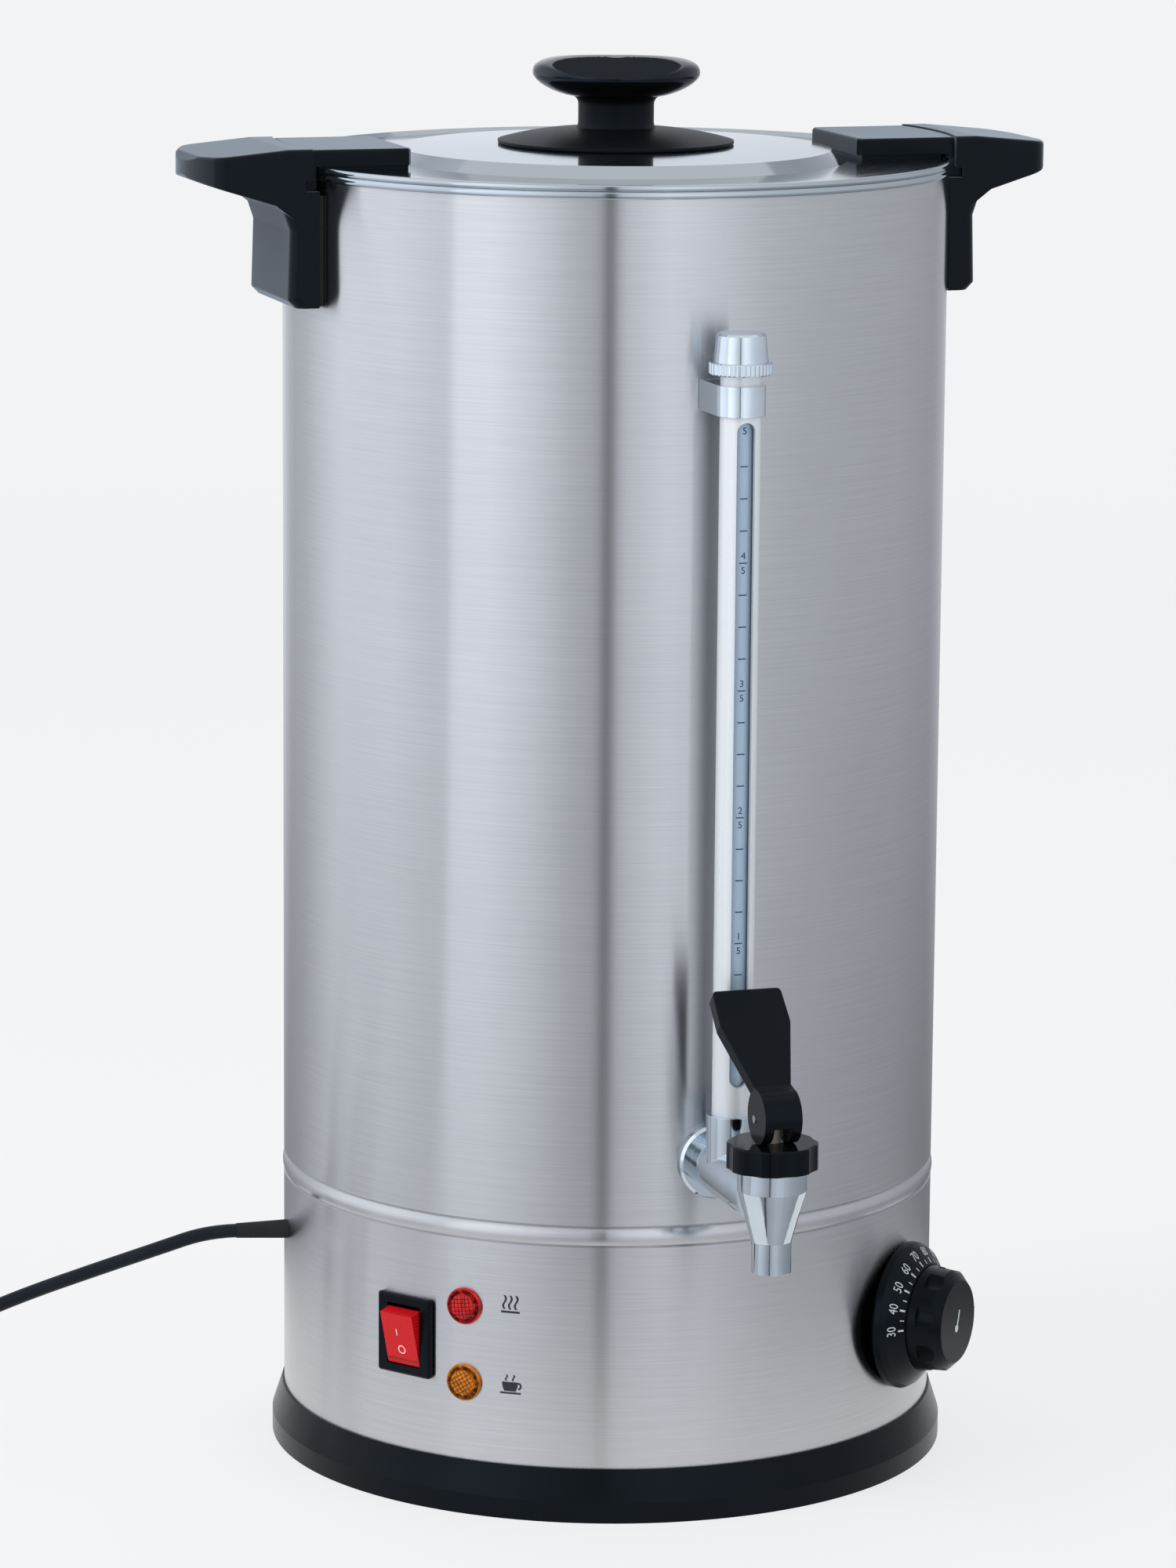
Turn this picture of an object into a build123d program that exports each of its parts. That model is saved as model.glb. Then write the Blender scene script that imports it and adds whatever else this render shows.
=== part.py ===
"""Hot water urn: a steel barrel on a heated base, with a lever tap, a sight gauge and a bayonet lid.

All sizes are in millimetres. The origin is on the barrel's axis at the floor, +Z is up,
-Y is the front, where the tap is, and the side handles stand at +X and -X.
Angles round the barrel are counted in degrees from the front, positive towards +X.
"""
import os
from math import atan2, cos, degrees, pi, radians, sin, sqrt, tan

from build123d import *

# ---------------------------------------------------------------- driving sizes
RUNNING = 0.05          # radial clearance of a shaft that turns or slides in its bore
LOOSE = 0.25            # clearance round a piece that drops into its seat
SEATED = 0.15           # gap of a pad against a curved wall

# shells and tank
BODY_R = 127.5          # outside of the barrel and of the base shell
SHEET = 0.8             # steel sheet
RING_H = 20.0           # height of the base ring
RING_FOOT_OUT = 4.7     # flare of the base ring outside the barrel, at its foot
RING_TOP_OUT = 0.8
RING_WALL = 3.0
RING_SHELF_Z = 13.0     # underside of the ring's inner shelf
RING_SHELF_T = 3.0
RING_SHELF_IN = 10.5    # inner edge of the shelf, inside the barrel's surface
SHELL_TOP = 113.5       # joint of base shell and barrel
BEAD_Z = 106.4          # lower edge of the base shell's shoulder bead
BEAD_OUT = 0.4          # shoulder bead outside the barrel
SHOULDER_IN = 1.2
RIM_TOP = 501.7         # top of the tank's rolled rim
RIM_OUT = 1.6           # rolled rim outside the barrel
RIM_DROP = 2.6
TANK_IN_BY = 11.5       # outside of the inner tank, inside the barrel's surface
TANK_BOTTOM = 118.0
TANK_BAND_H = 47.0      # lower band of the tank, which the tap goes through
BOTTOM_PLATE_T = 1.0
FOOT_R = 9.0
FOOT_RING_IN = 29.5     # ring of the feet, inside the barrel's surface
FEET = 4
BASE_SCREW_R = 2.0
BASE_SCREW_RING_IN = 6.5
SCREW_HEAD_H = 2.2

# heater and controls inside the base
HEATER_R = 75.0
HEATER_T = 6.0
ELEMENT_RING_R = 58.0
ELEMENT_R = 4.0
ELEMENT_PIN_R = 2.0
ELEMENT_PIN_L = 14.0
STUD_R = 4.0            # welded stud and thermostat bush share one thread size
NUT_FLATS = 13.0
NUT_H = 4.0
CUTOUT_R = 8.0
CUTOUT_H = 9.0
BULB_R = 3.0
BULB_L = 84.0
CAPILLARY_R = 1.0

# dial
DIAL_ANGLE = 45.0
DIAL_Z = 62.0
DIAL_R = 28.4
DIAL_RIM_H = 4.0
DIAL_H = 11.5
DIAL_FLOOR_T = 2.5
KNOB_R = 20.4
KNOB_TIP_R = 16.0
KNOB_TOP = 24.3         # knob face above the barrel's surface
KNOB_FLUTES = 8
POINTER_ANGLE = 6.0     # above the 3 o'clock direction at rest
SPINDLE_R = 3.0
THERMOSTAT_W = 32.0
THERMOSTAT_H = 38.0
THERMOSTAT_D = 22.0

# rocker switch
SWITCH_ANGLE = -54.6
SWITCH_Z = 65.0
BEZEL_W = 25.0
BEZEL_H = 31.0
BEZEL_T = 2.1
SWITCH_BODY_W = 22.0
SWITCH_BODY_H = 27.0
SWITCH_BODY_D = 22.0
ROCKER_W = 15.0
ROCKER_L = 21.2
ROCKER_FACE = 4.9       # face above the pivot
ROCKER_TILT = 14.0
ROCKER_PIVOT_IN = 0.6   # pivot inside the barrel's surface
ROCKER_PIN_R = 1.2
ROCKER_GAP = 0.3

# lamps
LAMP_ANGLE = -42.9
LAMP_Z = (80.1, 50.3)   # red above, amber below
LAMP_R = 7.1
LAMP_RIM_T = 1.5
LAMP_BARREL_R = 5.0

# handles and lid
HANDLE_HALF_W = 30.0
HANDLE_OUT = 44.0       # grip outside the barrel, at its middle
HANDLE_SIDE_OUT = 36.0
HANDLE_TOP = 511.0
HANDLE_LEG_OUT = 9.7
HANDLE_CORNER = 4.0     # rounding of the leg's upright corners
HANDLE_ROUND = 1.6      # rounding of the grip's long upper edges
HANDLE_EDGE = 1.0       # rounding of the handle's other edges
HANDLE_LEG_BOTTOM = 451.5
GRIP_UNDER_Z = 487.5
GASKET_T = 1.5
SLOT_Z = 495.2          # floor of the slot that holds the lid's foot
SLOT_H = 3.8
SLOT_DEPTH = 3.6        # the slot past the lug's skirt
LUG_OUT = 3.5           # lid's lug skirt outside the barrel
LUG_GAP = 0.4
LUG_HALF_W = 28.0
LUG_INNER_IN = 38.5     # inner end of the lug, inside the barrel's surface
LUG_SCREW_IN = 22.5
LUG_SCREW_Y = 16.0
LUG_SCREW_R = 2.0
LUG_ROUND = 1.2
LUG_TOP = 510.6
FOOT_T = 2.9
LID_SEAM = 0.1
LID_BEAD_H = 2.4
LID_STEP_IN = 41.5
LID_TOP = 508.4
LID_SKIRT_H = 12.0
KNOB_FLANGE_R = 45.2
LID_KNOB_R = 32.0
LID_KNOB_NECK_R = 14.5
LID_KNOB_H = 33.7
LID_SCREW_R = 3.0

# sight gauge
TUBE_OUT = 20.0         # gauge's axis outside the barrel
TUBE_R = 7.5
TUBE_WALL = 1.8
SLOT_W = 7.0
WINDOW_BOTTOM = 172.9
WINDOW_TOP = 420.3
GLASS_R = 5.0
GLASS_WALL = 1.2
CAP_KNURL_R = 11.7
CAP_KNURL_Z = 437.3
CAP_KNURL_H = 4.5
CAP_TOP = 452.4
CAP_TOP_R = 9.1
CAP_BASE_R = 10.0
CAP_TEETH = 40
CLIP_Z = 422.3
CLIP_H = 11.2
CLIP_T = 1.7

# tap
TAP_Z = 138.8
SPOUT_OUT = 65.0        # spout's axis outside the barrel
FLANGE_R = 14.2
FLANGE_T = 3.5
TAP_BARREL_R = 10.4
TAP_BORE_R = 5.2
SHANK_R = 8.0
SHANK_PAST = 9.0        # shank's inner end past the tank's outside
COLLAR_R = 9.5
COLLAR_TOP = 161.7
GAUGE_PORT_R = 3.2
HEAD_R = 12.8
HEAD_TOP = 152.2
HEAD_BAND_Z = 144.0
CONE_END_Z = 124.6
SPOUT_R = 7.4
SPOUT_END = 113.0
SPOUT_BORE_R = 4.8
SEAT_Z = 132.4
SEAT_LIP = 1.0
CHAMBER_R = 9.8
BONNET_R = 16.8
BONNET_TOP = 161.7
BONNET_PLUG_Z = 148.5
BONNET_SCALLOPS = 8
STEM_R = 2.9
STEM_TOP = 175.2
COLLAR_LAND_R = 5.4
COLLAR_LAND_T = 2.0
CUP_R = 5.9
CUP_TOP = 136.6
SPRING_R = 4.4
SPRING_WIRE = 0.5
SPRING_TURNS = 4.5
CAM_R = 9.9
CAM_E = 2.6             # eccentricity of the lever's cam
CAM_PHASE = 25.0        # cam centre above the forward direction at rest
CAM_GAP = 0.15
LEVER_LEAN = 44.4
LEVER_FACE = 8.1        # paddle face in front of the pin
LEVER_T = 5.5
LEVER_L = 51.2
LEVER_TOP_W = 26.6
LEVER_WIDE_W = 27.4
LEVER_WIDE_AT = 36.0
LEVER_WAIST_AT = 8.6
LEVER_W = 14.2
LEVER_SLOT_W = 7.0
LEVER_BRIDGE = 1.6      # front bridge of the fork reaches this far below the pin
LEVER_ROUND = 0.6       # rounding of the paddle's edges
PIN_R = 1.5

# mains lead
CORD_ANGLE = -97.5
CORD_Z = 84.8
CORD_R = 2.7
GLAND_R = 3.7
GLAND_TIP_R = 2.9
GLAND_OUT = 20.0
COIL_R = 31.0           # middle of the coil's turns
COIL_LAYERS = 2
COIL_ROWS = 3
TIE_T = 0.8
TIE_ARC = 14.0
PLUG_R = 18.5
PLUG_L = 32.0
PLUG_RELIEF_L = 34.0
PLUG_PIN_R = 2.4
PLUG_PIN_L = 19.0
PLUG_PIN_SPACING = 19.0

LEAD_LEVEL = 11.5       # level run out of the gland
# Lead on its way down: distance past the gland, drift sideways, height.
LEAD_POINTS = (
    (29.5, 0.7, 79.0),
    (54.5, 0.6, 71.4),
    (83.5, -0.6, 62.6),
    (109.5, -1.2, 52.6),
    (131.5, -1.0, 38.6),
    (149.5, 0.2, 21.6),
    (171.5, 0.6, 8.6),
)
LEAD_DOWN = 192.5       # where the lead lies flat, past the gland
COIL_OUT = 224.5        # coil's centre past the gland
LEAD_STRAIGHT = 13.0    # straight run just before the coil
TAIL_POINTS = ((8.0, 0.0), (28.0, 0.8), (50.0, 0.4), (70.0, 0.4))  # past the coil, drift outwards

# ---------------------------------------------------------------- derived sizes
RING_FOOT_R = BODY_R + RING_FOOT_OUT
RING_TOP_R = BODY_R + RING_TOP_OUT
RING_SHELF_R = BODY_R - RING_SHELF_IN
BEAD_R = BODY_R + BEAD_OUT
SHOULDER_R = BODY_R - SHOULDER_IN
RIM_R = BODY_R + RIM_OUT
TANK_R = BODY_R - TANK_IN_BY
FOOT_RING_R = BODY_R - FOOT_RING_IN
BASE_SCREW_RING_R = BODY_R - BASE_SCREW_RING_IN
HANDLE_REACH = BODY_R + HANDLE_OUT
HANDLE_SIDE_REACH = BODY_R + HANDLE_SIDE_OUT
HANDLE_LEG_X = BODY_R + HANDLE_LEG_OUT
LUG_R = BODY_R + LUG_OUT
SLOT_R = LUG_R + SLOT_DEPTH
LUG_INNER_X = BODY_R - LUG_INNER_IN
LUG_SCREW_X = BODY_R - LUG_SCREW_IN
LID_STEP_R = BODY_R - LID_STEP_IN
LID_KNOB_TOP = LID_TOP + LID_KNOB_H
TUBE_Y = -(BODY_R + TUBE_OUT)
SPOUT_Y = -(BODY_R + SPOUT_OUT)
SHANK_IN = TANK_R - SHANK_PAST
SHELL_IN = BODY_R - SHEET
TANK_IN = TANK_R - SHEET
BAND_TOP = TANK_BOTTOM + TANK_BAND_H
RING_IN = RING_FOOT_R - RING_WALL
HEATER_Z = TANK_BOTTOM - HEATER_T
LID_Z = RIM_TOP + LID_SEAM
PIVOT_Z = BONNET_TOP + CAM_GAP + CAM_R - CAM_E * sin(radians(CAM_PHASE))
CAM_Y = SPOUT_Y - CAM_E * cos(radians(CAM_PHASE))
CAM_Z = PIVOT_Z + CAM_E * sin(radians(CAM_PHASE))
TUBE_IN = TUBE_R - TUBE_WALL
TUBE_FOOT = COLLAR_TOP - 5.0
COIL_HALF_W = COIL_ROWS * CORD_R
COIL_H = COIL_LAYERS * 2 * CORD_R

os.makedirs("parts", exist_ok=True)


# ---------------------------------------------------------------- helpers
def wall_plane(angle, reach, height):
    """Plane facing straight out of the barrel: x to the right, y up, z outwards."""
    out = Vector(sin(radians(angle)), -cos(radians(angle)), 0)
    across = Vector(cos(radians(angle)), sin(radians(angle)), 0)
    return Plane(origin=out * reach + Vector(0, 0, height), x_dir=across, z_dir=out)


def save(part, name):
    """Label a finished piece and write it as one file."""
    part.label = name
    export_step(part, f"parts/{name}.step")


def annulus(inner, outer, height):
    """Flat ring about the barrel's axis at a height, or a disc where the inner radius is 0."""
    with BuildSketch(Plane.XY.offset(height), mode=Mode.PRIVATE) as flat:
        Circle(outer)
        if inner > 0:
            Circle(inner, mode=Mode.SUBTRACT)
    return flat.sketch


# ---------------------------------------------------------------- base
# Black base ring: a flared wall with an inner shelf that carries the shell and the bottom plate.
shelf_top = RING_SHELF_Z + RING_SHELF_T
with BuildPart() as base_ring:
    with BuildSketch(Plane.XZ):
        with BuildLine():
            Polyline(
                (RING_FOOT_R, 0),
                (RING_FOOT_R, RING_H * 0.4),
                (RING_TOP_R, RING_H),
                (BODY_R + RUNNING, RING_H),
                (BODY_R + RUNNING, shelf_top),
                (RING_SHELF_R, shelf_top),
                (RING_SHELF_R, RING_SHELF_Z),
                (RING_TOP_R - RING_WALL, RING_SHELF_Z),
                (RING_IN, RING_H * 0.4),
                (RING_IN, 0),
                close=True,
            )
        make_face()
    revolve(axis=Axis.Z)
    with BuildSketch(Plane.XY.offset(RING_SHELF_Z)):
        with PolarLocations(BASE_SCREW_RING_R, 4, start_angle=45):
            Circle(BASE_SCREW_R + LOOSE)
    extrude(amount=RING_SHELF_T, mode=Mode.SUBTRACT)
save(base_ring.part, "base_ring")

# Steel base shell: bottom flange on the ring's shelf, plain wall, shoulder bead, control holes.
with BuildPart() as base_shell:
    with BuildSketch(Plane.XZ):
        with BuildLine():
            outside = Polyline(
                (RING_SHELF_R, shelf_top),
                (BODY_R, shelf_top),
                (BODY_R, BEAD_Z - 0.4),
                (BODY_R - 0.6, BEAD_Z),
                (BODY_R - 0.1, BEAD_Z + 0.6),
            )
            ThreePointArc(outside @ 1, (BEAD_R, BEAD_Z + 2.8), (SHOULDER_R, SHELL_TOP))
            Polyline(
                (SHOULDER_R, SHELL_TOP),
                (SHOULDER_R - SHEET, SHELL_TOP),
                (SHOULDER_R - SHEET, BEAD_Z - 0.4),
                (SHELL_IN, BEAD_Z - 1.6),
                (SHELL_IN, shelf_top + SHEET),
                (RING_SHELF_R, shelf_top + SHEET),
                (RING_SHELF_R, shelf_top),
            )
        make_face()
    revolve(axis=Axis.Z)
    with BuildSketch(Plane.XY.offset(shelf_top)):
        with PolarLocations(BASE_SCREW_RING_R, 4, start_angle=45):
            Circle(BASE_SCREW_R + RUNNING)
    extrude(amount=SHEET, mode=Mode.SUBTRACT)
    with BuildSketch(wall_plane(SWITCH_ANGLE, BODY_R - 6, SWITCH_Z)):
        Rectangle(SWITCH_BODY_W + 2 * LOOSE, SWITCH_BODY_H + 2 * LOOSE)
    extrude(amount=8, mode=Mode.SUBTRACT)
    for lamp_z in LAMP_Z:
        with BuildSketch(wall_plane(LAMP_ANGLE, BODY_R - 6, lamp_z)):
            Circle(LAMP_BARREL_R + LOOSE)
        extrude(amount=8, mode=Mode.SUBTRACT)
    with BuildSketch(wall_plane(DIAL_ANGLE, BODY_R - 6, DIAL_Z)):
        Circle(STUD_R + LOOSE)
    extrude(amount=8, mode=Mode.SUBTRACT)
    with BuildSketch(wall_plane(CORD_ANGLE, BODY_R - 6, CORD_Z)):
        Circle(GLAND_R + RUNNING)
    extrude(amount=8, mode=Mode.SUBTRACT)
save(base_shell.part, "base_shell")

# Bottom plate under the ring's shelf, with vent slots.
plate_r = RING_TOP_R - RING_WALL - LOOSE
plate_z = RING_SHELF_Z - BOTTOM_PLATE_T
with BuildPart() as bottom_plate:
    with BuildSketch(Plane.XY.offset(plate_z)):
        Circle(plate_r)
        with PolarLocations(BASE_SCREW_RING_R, 4, start_angle=45):
            Circle(BASE_SCREW_R + LOOSE, mode=Mode.SUBTRACT)
        with PolarLocations(62, 12):
            SlotOverall(30, 4, mode=Mode.SUBTRACT)
    extrude(amount=BOTTOM_PLATE_T)
save(bottom_plate.part, "bottom_plate")

# Four screws hold plate, ring and shell together.
screw_top = shelf_top + SHEET + 3
with BuildPart() as base_screws:
    with BuildSketch(Plane.XY.offset(plate_z)):
        with PolarLocations(BASE_SCREW_RING_R, 4, start_angle=45):
            Circle(BASE_SCREW_R)
    extrude(amount=screw_top - plate_z)
    with BuildSketch(Plane.XY.offset(plate_z - SCREW_HEAD_H)):
        with PolarLocations(BASE_SCREW_RING_R, 4, start_angle=45):
            Circle(2 * BASE_SCREW_R)
    extrude(amount=SCREW_HEAD_H)
save(base_screws.part, "base_screws")

# Rubber feet under the bottom plate, level with the ring's foot.
with BuildPart() as rubber_feet:
    with BuildSketch(Plane.XY):
        with PolarLocations(FOOT_RING_R, FEET):
            Circle(FOOT_R)
    extrude(amount=plate_z, taper=4)
save(rubber_feet.part, "rubber_feet")

# ---------------------------------------------------------------- barrel and tank
flange_under = RIM_TOP - SHEET
HANDLE_SCREW_Z = (462.0, 484.0)
handle_screw_r = 2.0
handle_screw_l = 8.0


def handle_screw_spots(side, reach):
    """Planes of one handle's two fixing screws, facing out of the barrel."""
    return [wall_plane(90 * side, reach, z) for z in HANDLE_SCREW_Z]


clip_screw_r = 1.5
clip_screw_z = CLIP_Z + CLIP_H / 2
with BuildPart() as outer_barrel:
    with BuildSketch(Plane.XZ):
        with BuildLine():
            Polyline(
                (SHOULDER_R - SHEET - 4, SHELL_TOP),
                (BODY_R - 1, SHELL_TOP),
                (BODY_R, SHELL_TOP + 1),
                (BODY_R, flange_under),
                (SHELL_IN, flange_under),
                (SHELL_IN, SHELL_TOP + SHEET),
                (SHOULDER_R - SHEET - 4, SHELL_TOP + SHEET),
                close=True,
            )
        make_face()
    revolve(axis=Axis.Z)
    with BuildSketch(wall_plane(0, SHELL_IN - 4, TAP_Z)):
        Circle(SHANK_R + LOOSE)
    extrude(amount=8, mode=Mode.SUBTRACT)
    with BuildSketch(wall_plane(0, SHELL_IN - 4, clip_screw_z)):
        Circle(clip_screw_r)
    extrude(amount=8, mode=Mode.SUBTRACT)
    for side in (-1, 1):
        for spot in handle_screw_spots(side, SHELL_IN - 4):
            with BuildSketch(spot):
                Circle(handle_screw_r + RUNNING)
            extrude(amount=8, mode=Mode.SUBTRACT)
save(outer_barrel.part, "outer_barrel")

# Inner tank, hung by its rolled rim on the barrel's edge, down to the weld with its lower band.
with BuildPart() as inner_tank:
    with BuildSketch(Plane.XZ):
        with BuildLine():
            Polyline(
                (TANK_IN, BAND_TOP),
                (TANK_R, BAND_TOP),
                (TANK_R, flange_under),
                (BODY_R + RUNNING, flange_under),
                (BODY_R + RUNNING, RIM_TOP - RIM_DROP),
                (RIM_R - 0.5, RIM_TOP - RIM_DROP),
            )
            ThreePointArc(
                (RIM_R - 0.5, RIM_TOP - RIM_DROP), (RIM_R, RIM_TOP - RIM_DROP / 2), (RIM_R - 0.5, RIM_TOP)
            )
            Polyline((RIM_R - 0.5, RIM_TOP), (TANK_IN, RIM_TOP), (TANK_IN, BAND_TOP))
        make_face()
    revolve(axis=Axis.Z)
save(inner_tank.part, "inner_tank")

# Lower band of the tank, with the hole for the tap's shank.
with BuildPart() as tank_band:
    add(annulus(TANK_IN, TANK_R, TANK_BOTTOM))
    extrude(amount=TANK_BAND_H)
    with BuildSketch(wall_plane(0, TANK_IN - 4, TAP_Z)):
        Circle(SHANK_R + LOOSE)
    extrude(amount=8, mode=Mode.SUBTRACT)
save(tank_band.part, "tank_band")

# Floor of the tank, welded in at its edge, with the heater's stud.
with BuildPart() as tank_floor:
    with BuildSketch(Plane.XY.offset(TANK_BOTTOM)):
        Circle(TANK_IN)
    extrude(amount=SHEET)
    with BuildSketch(Plane.XY.offset(TANK_BOTTOM - HEATER_T - NUT_H - 4)):
        Circle(STUD_R)
    extrude(amount=HEATER_T + NUT_H + 4)
save(tank_floor.part, "tank_floor")

# Insulation wrap between tank and barrel, cut away round the tap shank and the screws.
wrap_gap = 0.4
with BuildPart() as insulation_wrap:
    with BuildSketch(Plane.XY.offset(TANK_BOTTOM + 2)):
        Circle(SHELL_IN - wrap_gap)
        Circle(TANK_R + wrap_gap, mode=Mode.SUBTRACT)
    extrude(amount=flange_under - TANK_BOTTOM - 2 - 3)
    with BuildSketch(wall_plane(0, TANK_IN - 4, TAP_Z)):
        Circle(SHANK_R + 6)
    extrude(amount=20, mode=Mode.SUBTRACT)
    with BuildSketch(wall_plane(0, TANK_IN - 4, clip_screw_z)):
        Circle(5)
    extrude(amount=20, mode=Mode.SUBTRACT)
    for side in (-1, 1):
        for spot in handle_screw_spots(side, TANK_IN - 4):
            with BuildSketch(spot):
                Circle(3 * handle_screw_r)
            extrude(amount=20, mode=Mode.SUBTRACT)
save(insulation_wrap.part, "insulation_wrap")

# ---------------------------------------------------------------- heater
pin_angle = 150.0
cutout_x, cutout_y = 28.0, 24.0
with BuildPart() as heater_plate:
    with BuildSketch(Plane.XY.offset(HEATER_Z)):
        Circle(HEATER_R)
        Circle(STUD_R + LOOSE, mode=Mode.SUBTRACT)
    extrude(amount=HEATER_T)
    with BuildSketch(Plane.XZ):
        with Locations((ELEMENT_RING_R, HEATER_Z)):
            Circle(ELEMENT_R)
    revolve(axis=Axis.Z)
save(heater_plate.part, "heater_plate")

with BuildPart() as heater_pins:
    with BuildSketch(Plane.XY.offset(HEATER_Z - ELEMENT_R - ELEMENT_PIN_L)):
        with PolarLocations(ELEMENT_RING_R, 2, start_angle=pin_angle, angular_range=20, endpoint=True):
            Circle(ELEMENT_PIN_R)
    extrude(amount=ELEMENT_PIN_L)
save(heater_pins.part, "heater_pins")

with BuildPart() as thermal_cutout:
    with BuildSketch(Plane.XY.offset(HEATER_Z - CUTOUT_H)):
        with Locations((cutout_x, cutout_y)):
            Circle(CUTOUT_R)
    extrude(amount=CUTOUT_H)
    with BuildSketch(Plane.XY.offset(HEATER_Z - CUTOUT_H - 7)):
        with Locations((cutout_x - 4.5, cutout_y), (cutout_x + 4.5, cutout_y)):
            Rectangle(0.8, 5)
    extrude(amount=7)
save(thermal_cutout.part, "thermal_cutout")

# One nut holds the heater on the tank's stud, its twin holds the thermostat's bush in the dial.
dial_seat = BODY_R + DIAL_FLOOR_T
with BuildPart() as lock_nuts:
    with BuildSketch(Plane.XY.offset(HEATER_Z - NUT_H)):
        RegularPolygon(NUT_FLATS / 2, 6, major_radius=False)
        Circle(STUD_R + RUNNING, mode=Mode.SUBTRACT)
    extrude(amount=NUT_H)
    with BuildSketch(wall_plane(DIAL_ANGLE, dial_seat, DIAL_Z)):
        RegularPolygon(NUT_FLATS / 2, 6, major_radius=False)
        Circle(STUD_R + RUNNING, mode=Mode.SUBTRACT)
    extrude(amount=NUT_H)
save(lock_nuts.part, "lock_nuts")

# ---------------------------------------------------------------- thermostat and dial
thermostat_face = sqrt(SHELL_IN**2 - (THERMOSTAT_W / 2) ** 2) - LOOSE
bush_end = dial_seat + NUT_H + 0.5
spindle_in = thermostat_face - 12.0
spindle_out = BODY_R + KNOB_TOP - 5.0
with BuildPart() as thermostat_body:
    with BuildSketch(wall_plane(DIAL_ANGLE, thermostat_face - THERMOSTAT_D, DIAL_Z)):
        RectangleRounded(THERMOSTAT_W, THERMOSTAT_H, 3)
    extrude(amount=THERMOSTAT_D)
    with BuildSketch(wall_plane(DIAL_ANGLE, thermostat_face, DIAL_Z)):
        Circle(STUD_R)
    extrude(amount=bush_end - thermostat_face)
    with BuildSketch(wall_plane(DIAL_ANGLE, spindle_in - 1, DIAL_Z)):
        Circle(SPINDLE_R + RUNNING)
    extrude(amount=bush_end - spindle_in + 1, mode=Mode.SUBTRACT)
save(thermostat_body.part, "thermostat_body")

with BuildPart() as thermostat_spindle:
    with BuildSketch(wall_plane(DIAL_ANGLE, spindle_in, DIAL_Z)):
        Circle(SPINDLE_R)
    extrude(amount=spindle_out - spindle_in)
save(thermostat_spindle.part, "thermostat_spindle")

# Bulb against the tank's floor, joined to the thermostat by its capillary.
bulb_y = -94.0
bulb_z = TANK_BOTTOM - BULB_R - RUNNING
capillary_bend = 8.0
thermostat_back = wall_plane(DIAL_ANGLE, thermostat_face - THERMOSTAT_D, DIAL_Z + THERMOSTAT_H / 4).origin
capillary_drop = wall_plane(DIAL_ANGLE, thermostat_face - THERMOSTAT_D - 14, DIAL_Z + THERMOSTAT_H / 4).origin
with BuildPart() as capillary_bulb:
    with BuildSketch(Plane(origin=(-BULB_L / 2 - 6, bulb_y, bulb_z), z_dir=(1, 0, 0))):
        Circle(BULB_R)
    extrude(amount=BULB_L)
    with BuildLine():
        FilletPolyline(
            thermostat_back,
            capillary_drop,
            (capillary_drop.X, capillary_drop.Y, bulb_z - 10),
            (capillary_drop.X, bulb_y, bulb_z),
            (BULB_L / 2 - 6, bulb_y, bulb_z),
            radius=capillary_bend,
        )
    with BuildSketch(wall_plane(DIAL_ANGLE, thermostat_face - THERMOSTAT_D, DIAL_Z + THERMOSTAT_H / 4)):
        Circle(CAPILLARY_R)
    sweep()
save(capillary_bulb.part, "capillary_bulb")

# Fixed scale ring of the dial: a cone that rises to the knob, with a floor clamped by the nut.
dial_axis_plane = Plane(
    origin=wall_plane(DIAL_ANGLE, BODY_R, DIAL_Z).origin,
    x_dir=(0, 0, 1),
    z_dir=wall_plane(DIAL_ANGLE, BODY_R, DIAL_Z).x_dir,
)
dial_axis = Axis(dial_axis_plane.origin, wall_plane(DIAL_ANGLE, BODY_R, DIAL_Z).z_dir)
dial_mouth_r = KNOB_R - 0.8
with BuildPart() as dial_bezel:
    with BuildSketch(dial_axis_plane):
        with BuildLine():
            Polyline(
                (STUD_R + LOOSE, 0),
                (DIAL_R - 1.6, 0),
                (DIAL_R, 1.5),
                (DIAL_R, DIAL_RIM_H),
                (DIAL_R - 1.4, DIAL_RIM_H + 2.4),
                (KNOB_R + 0.4, DIAL_H),
                (dial_mouth_r, DIAL_H),
                (dial_mouth_r, DIAL_FLOOR_T),
                (STUD_R + LOOSE, DIAL_FLOOR_T),
                close=True,
            )
        make_face()
    revolve(axis=dial_axis)
save(dial_bezel.part, "dial_bezel")

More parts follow.
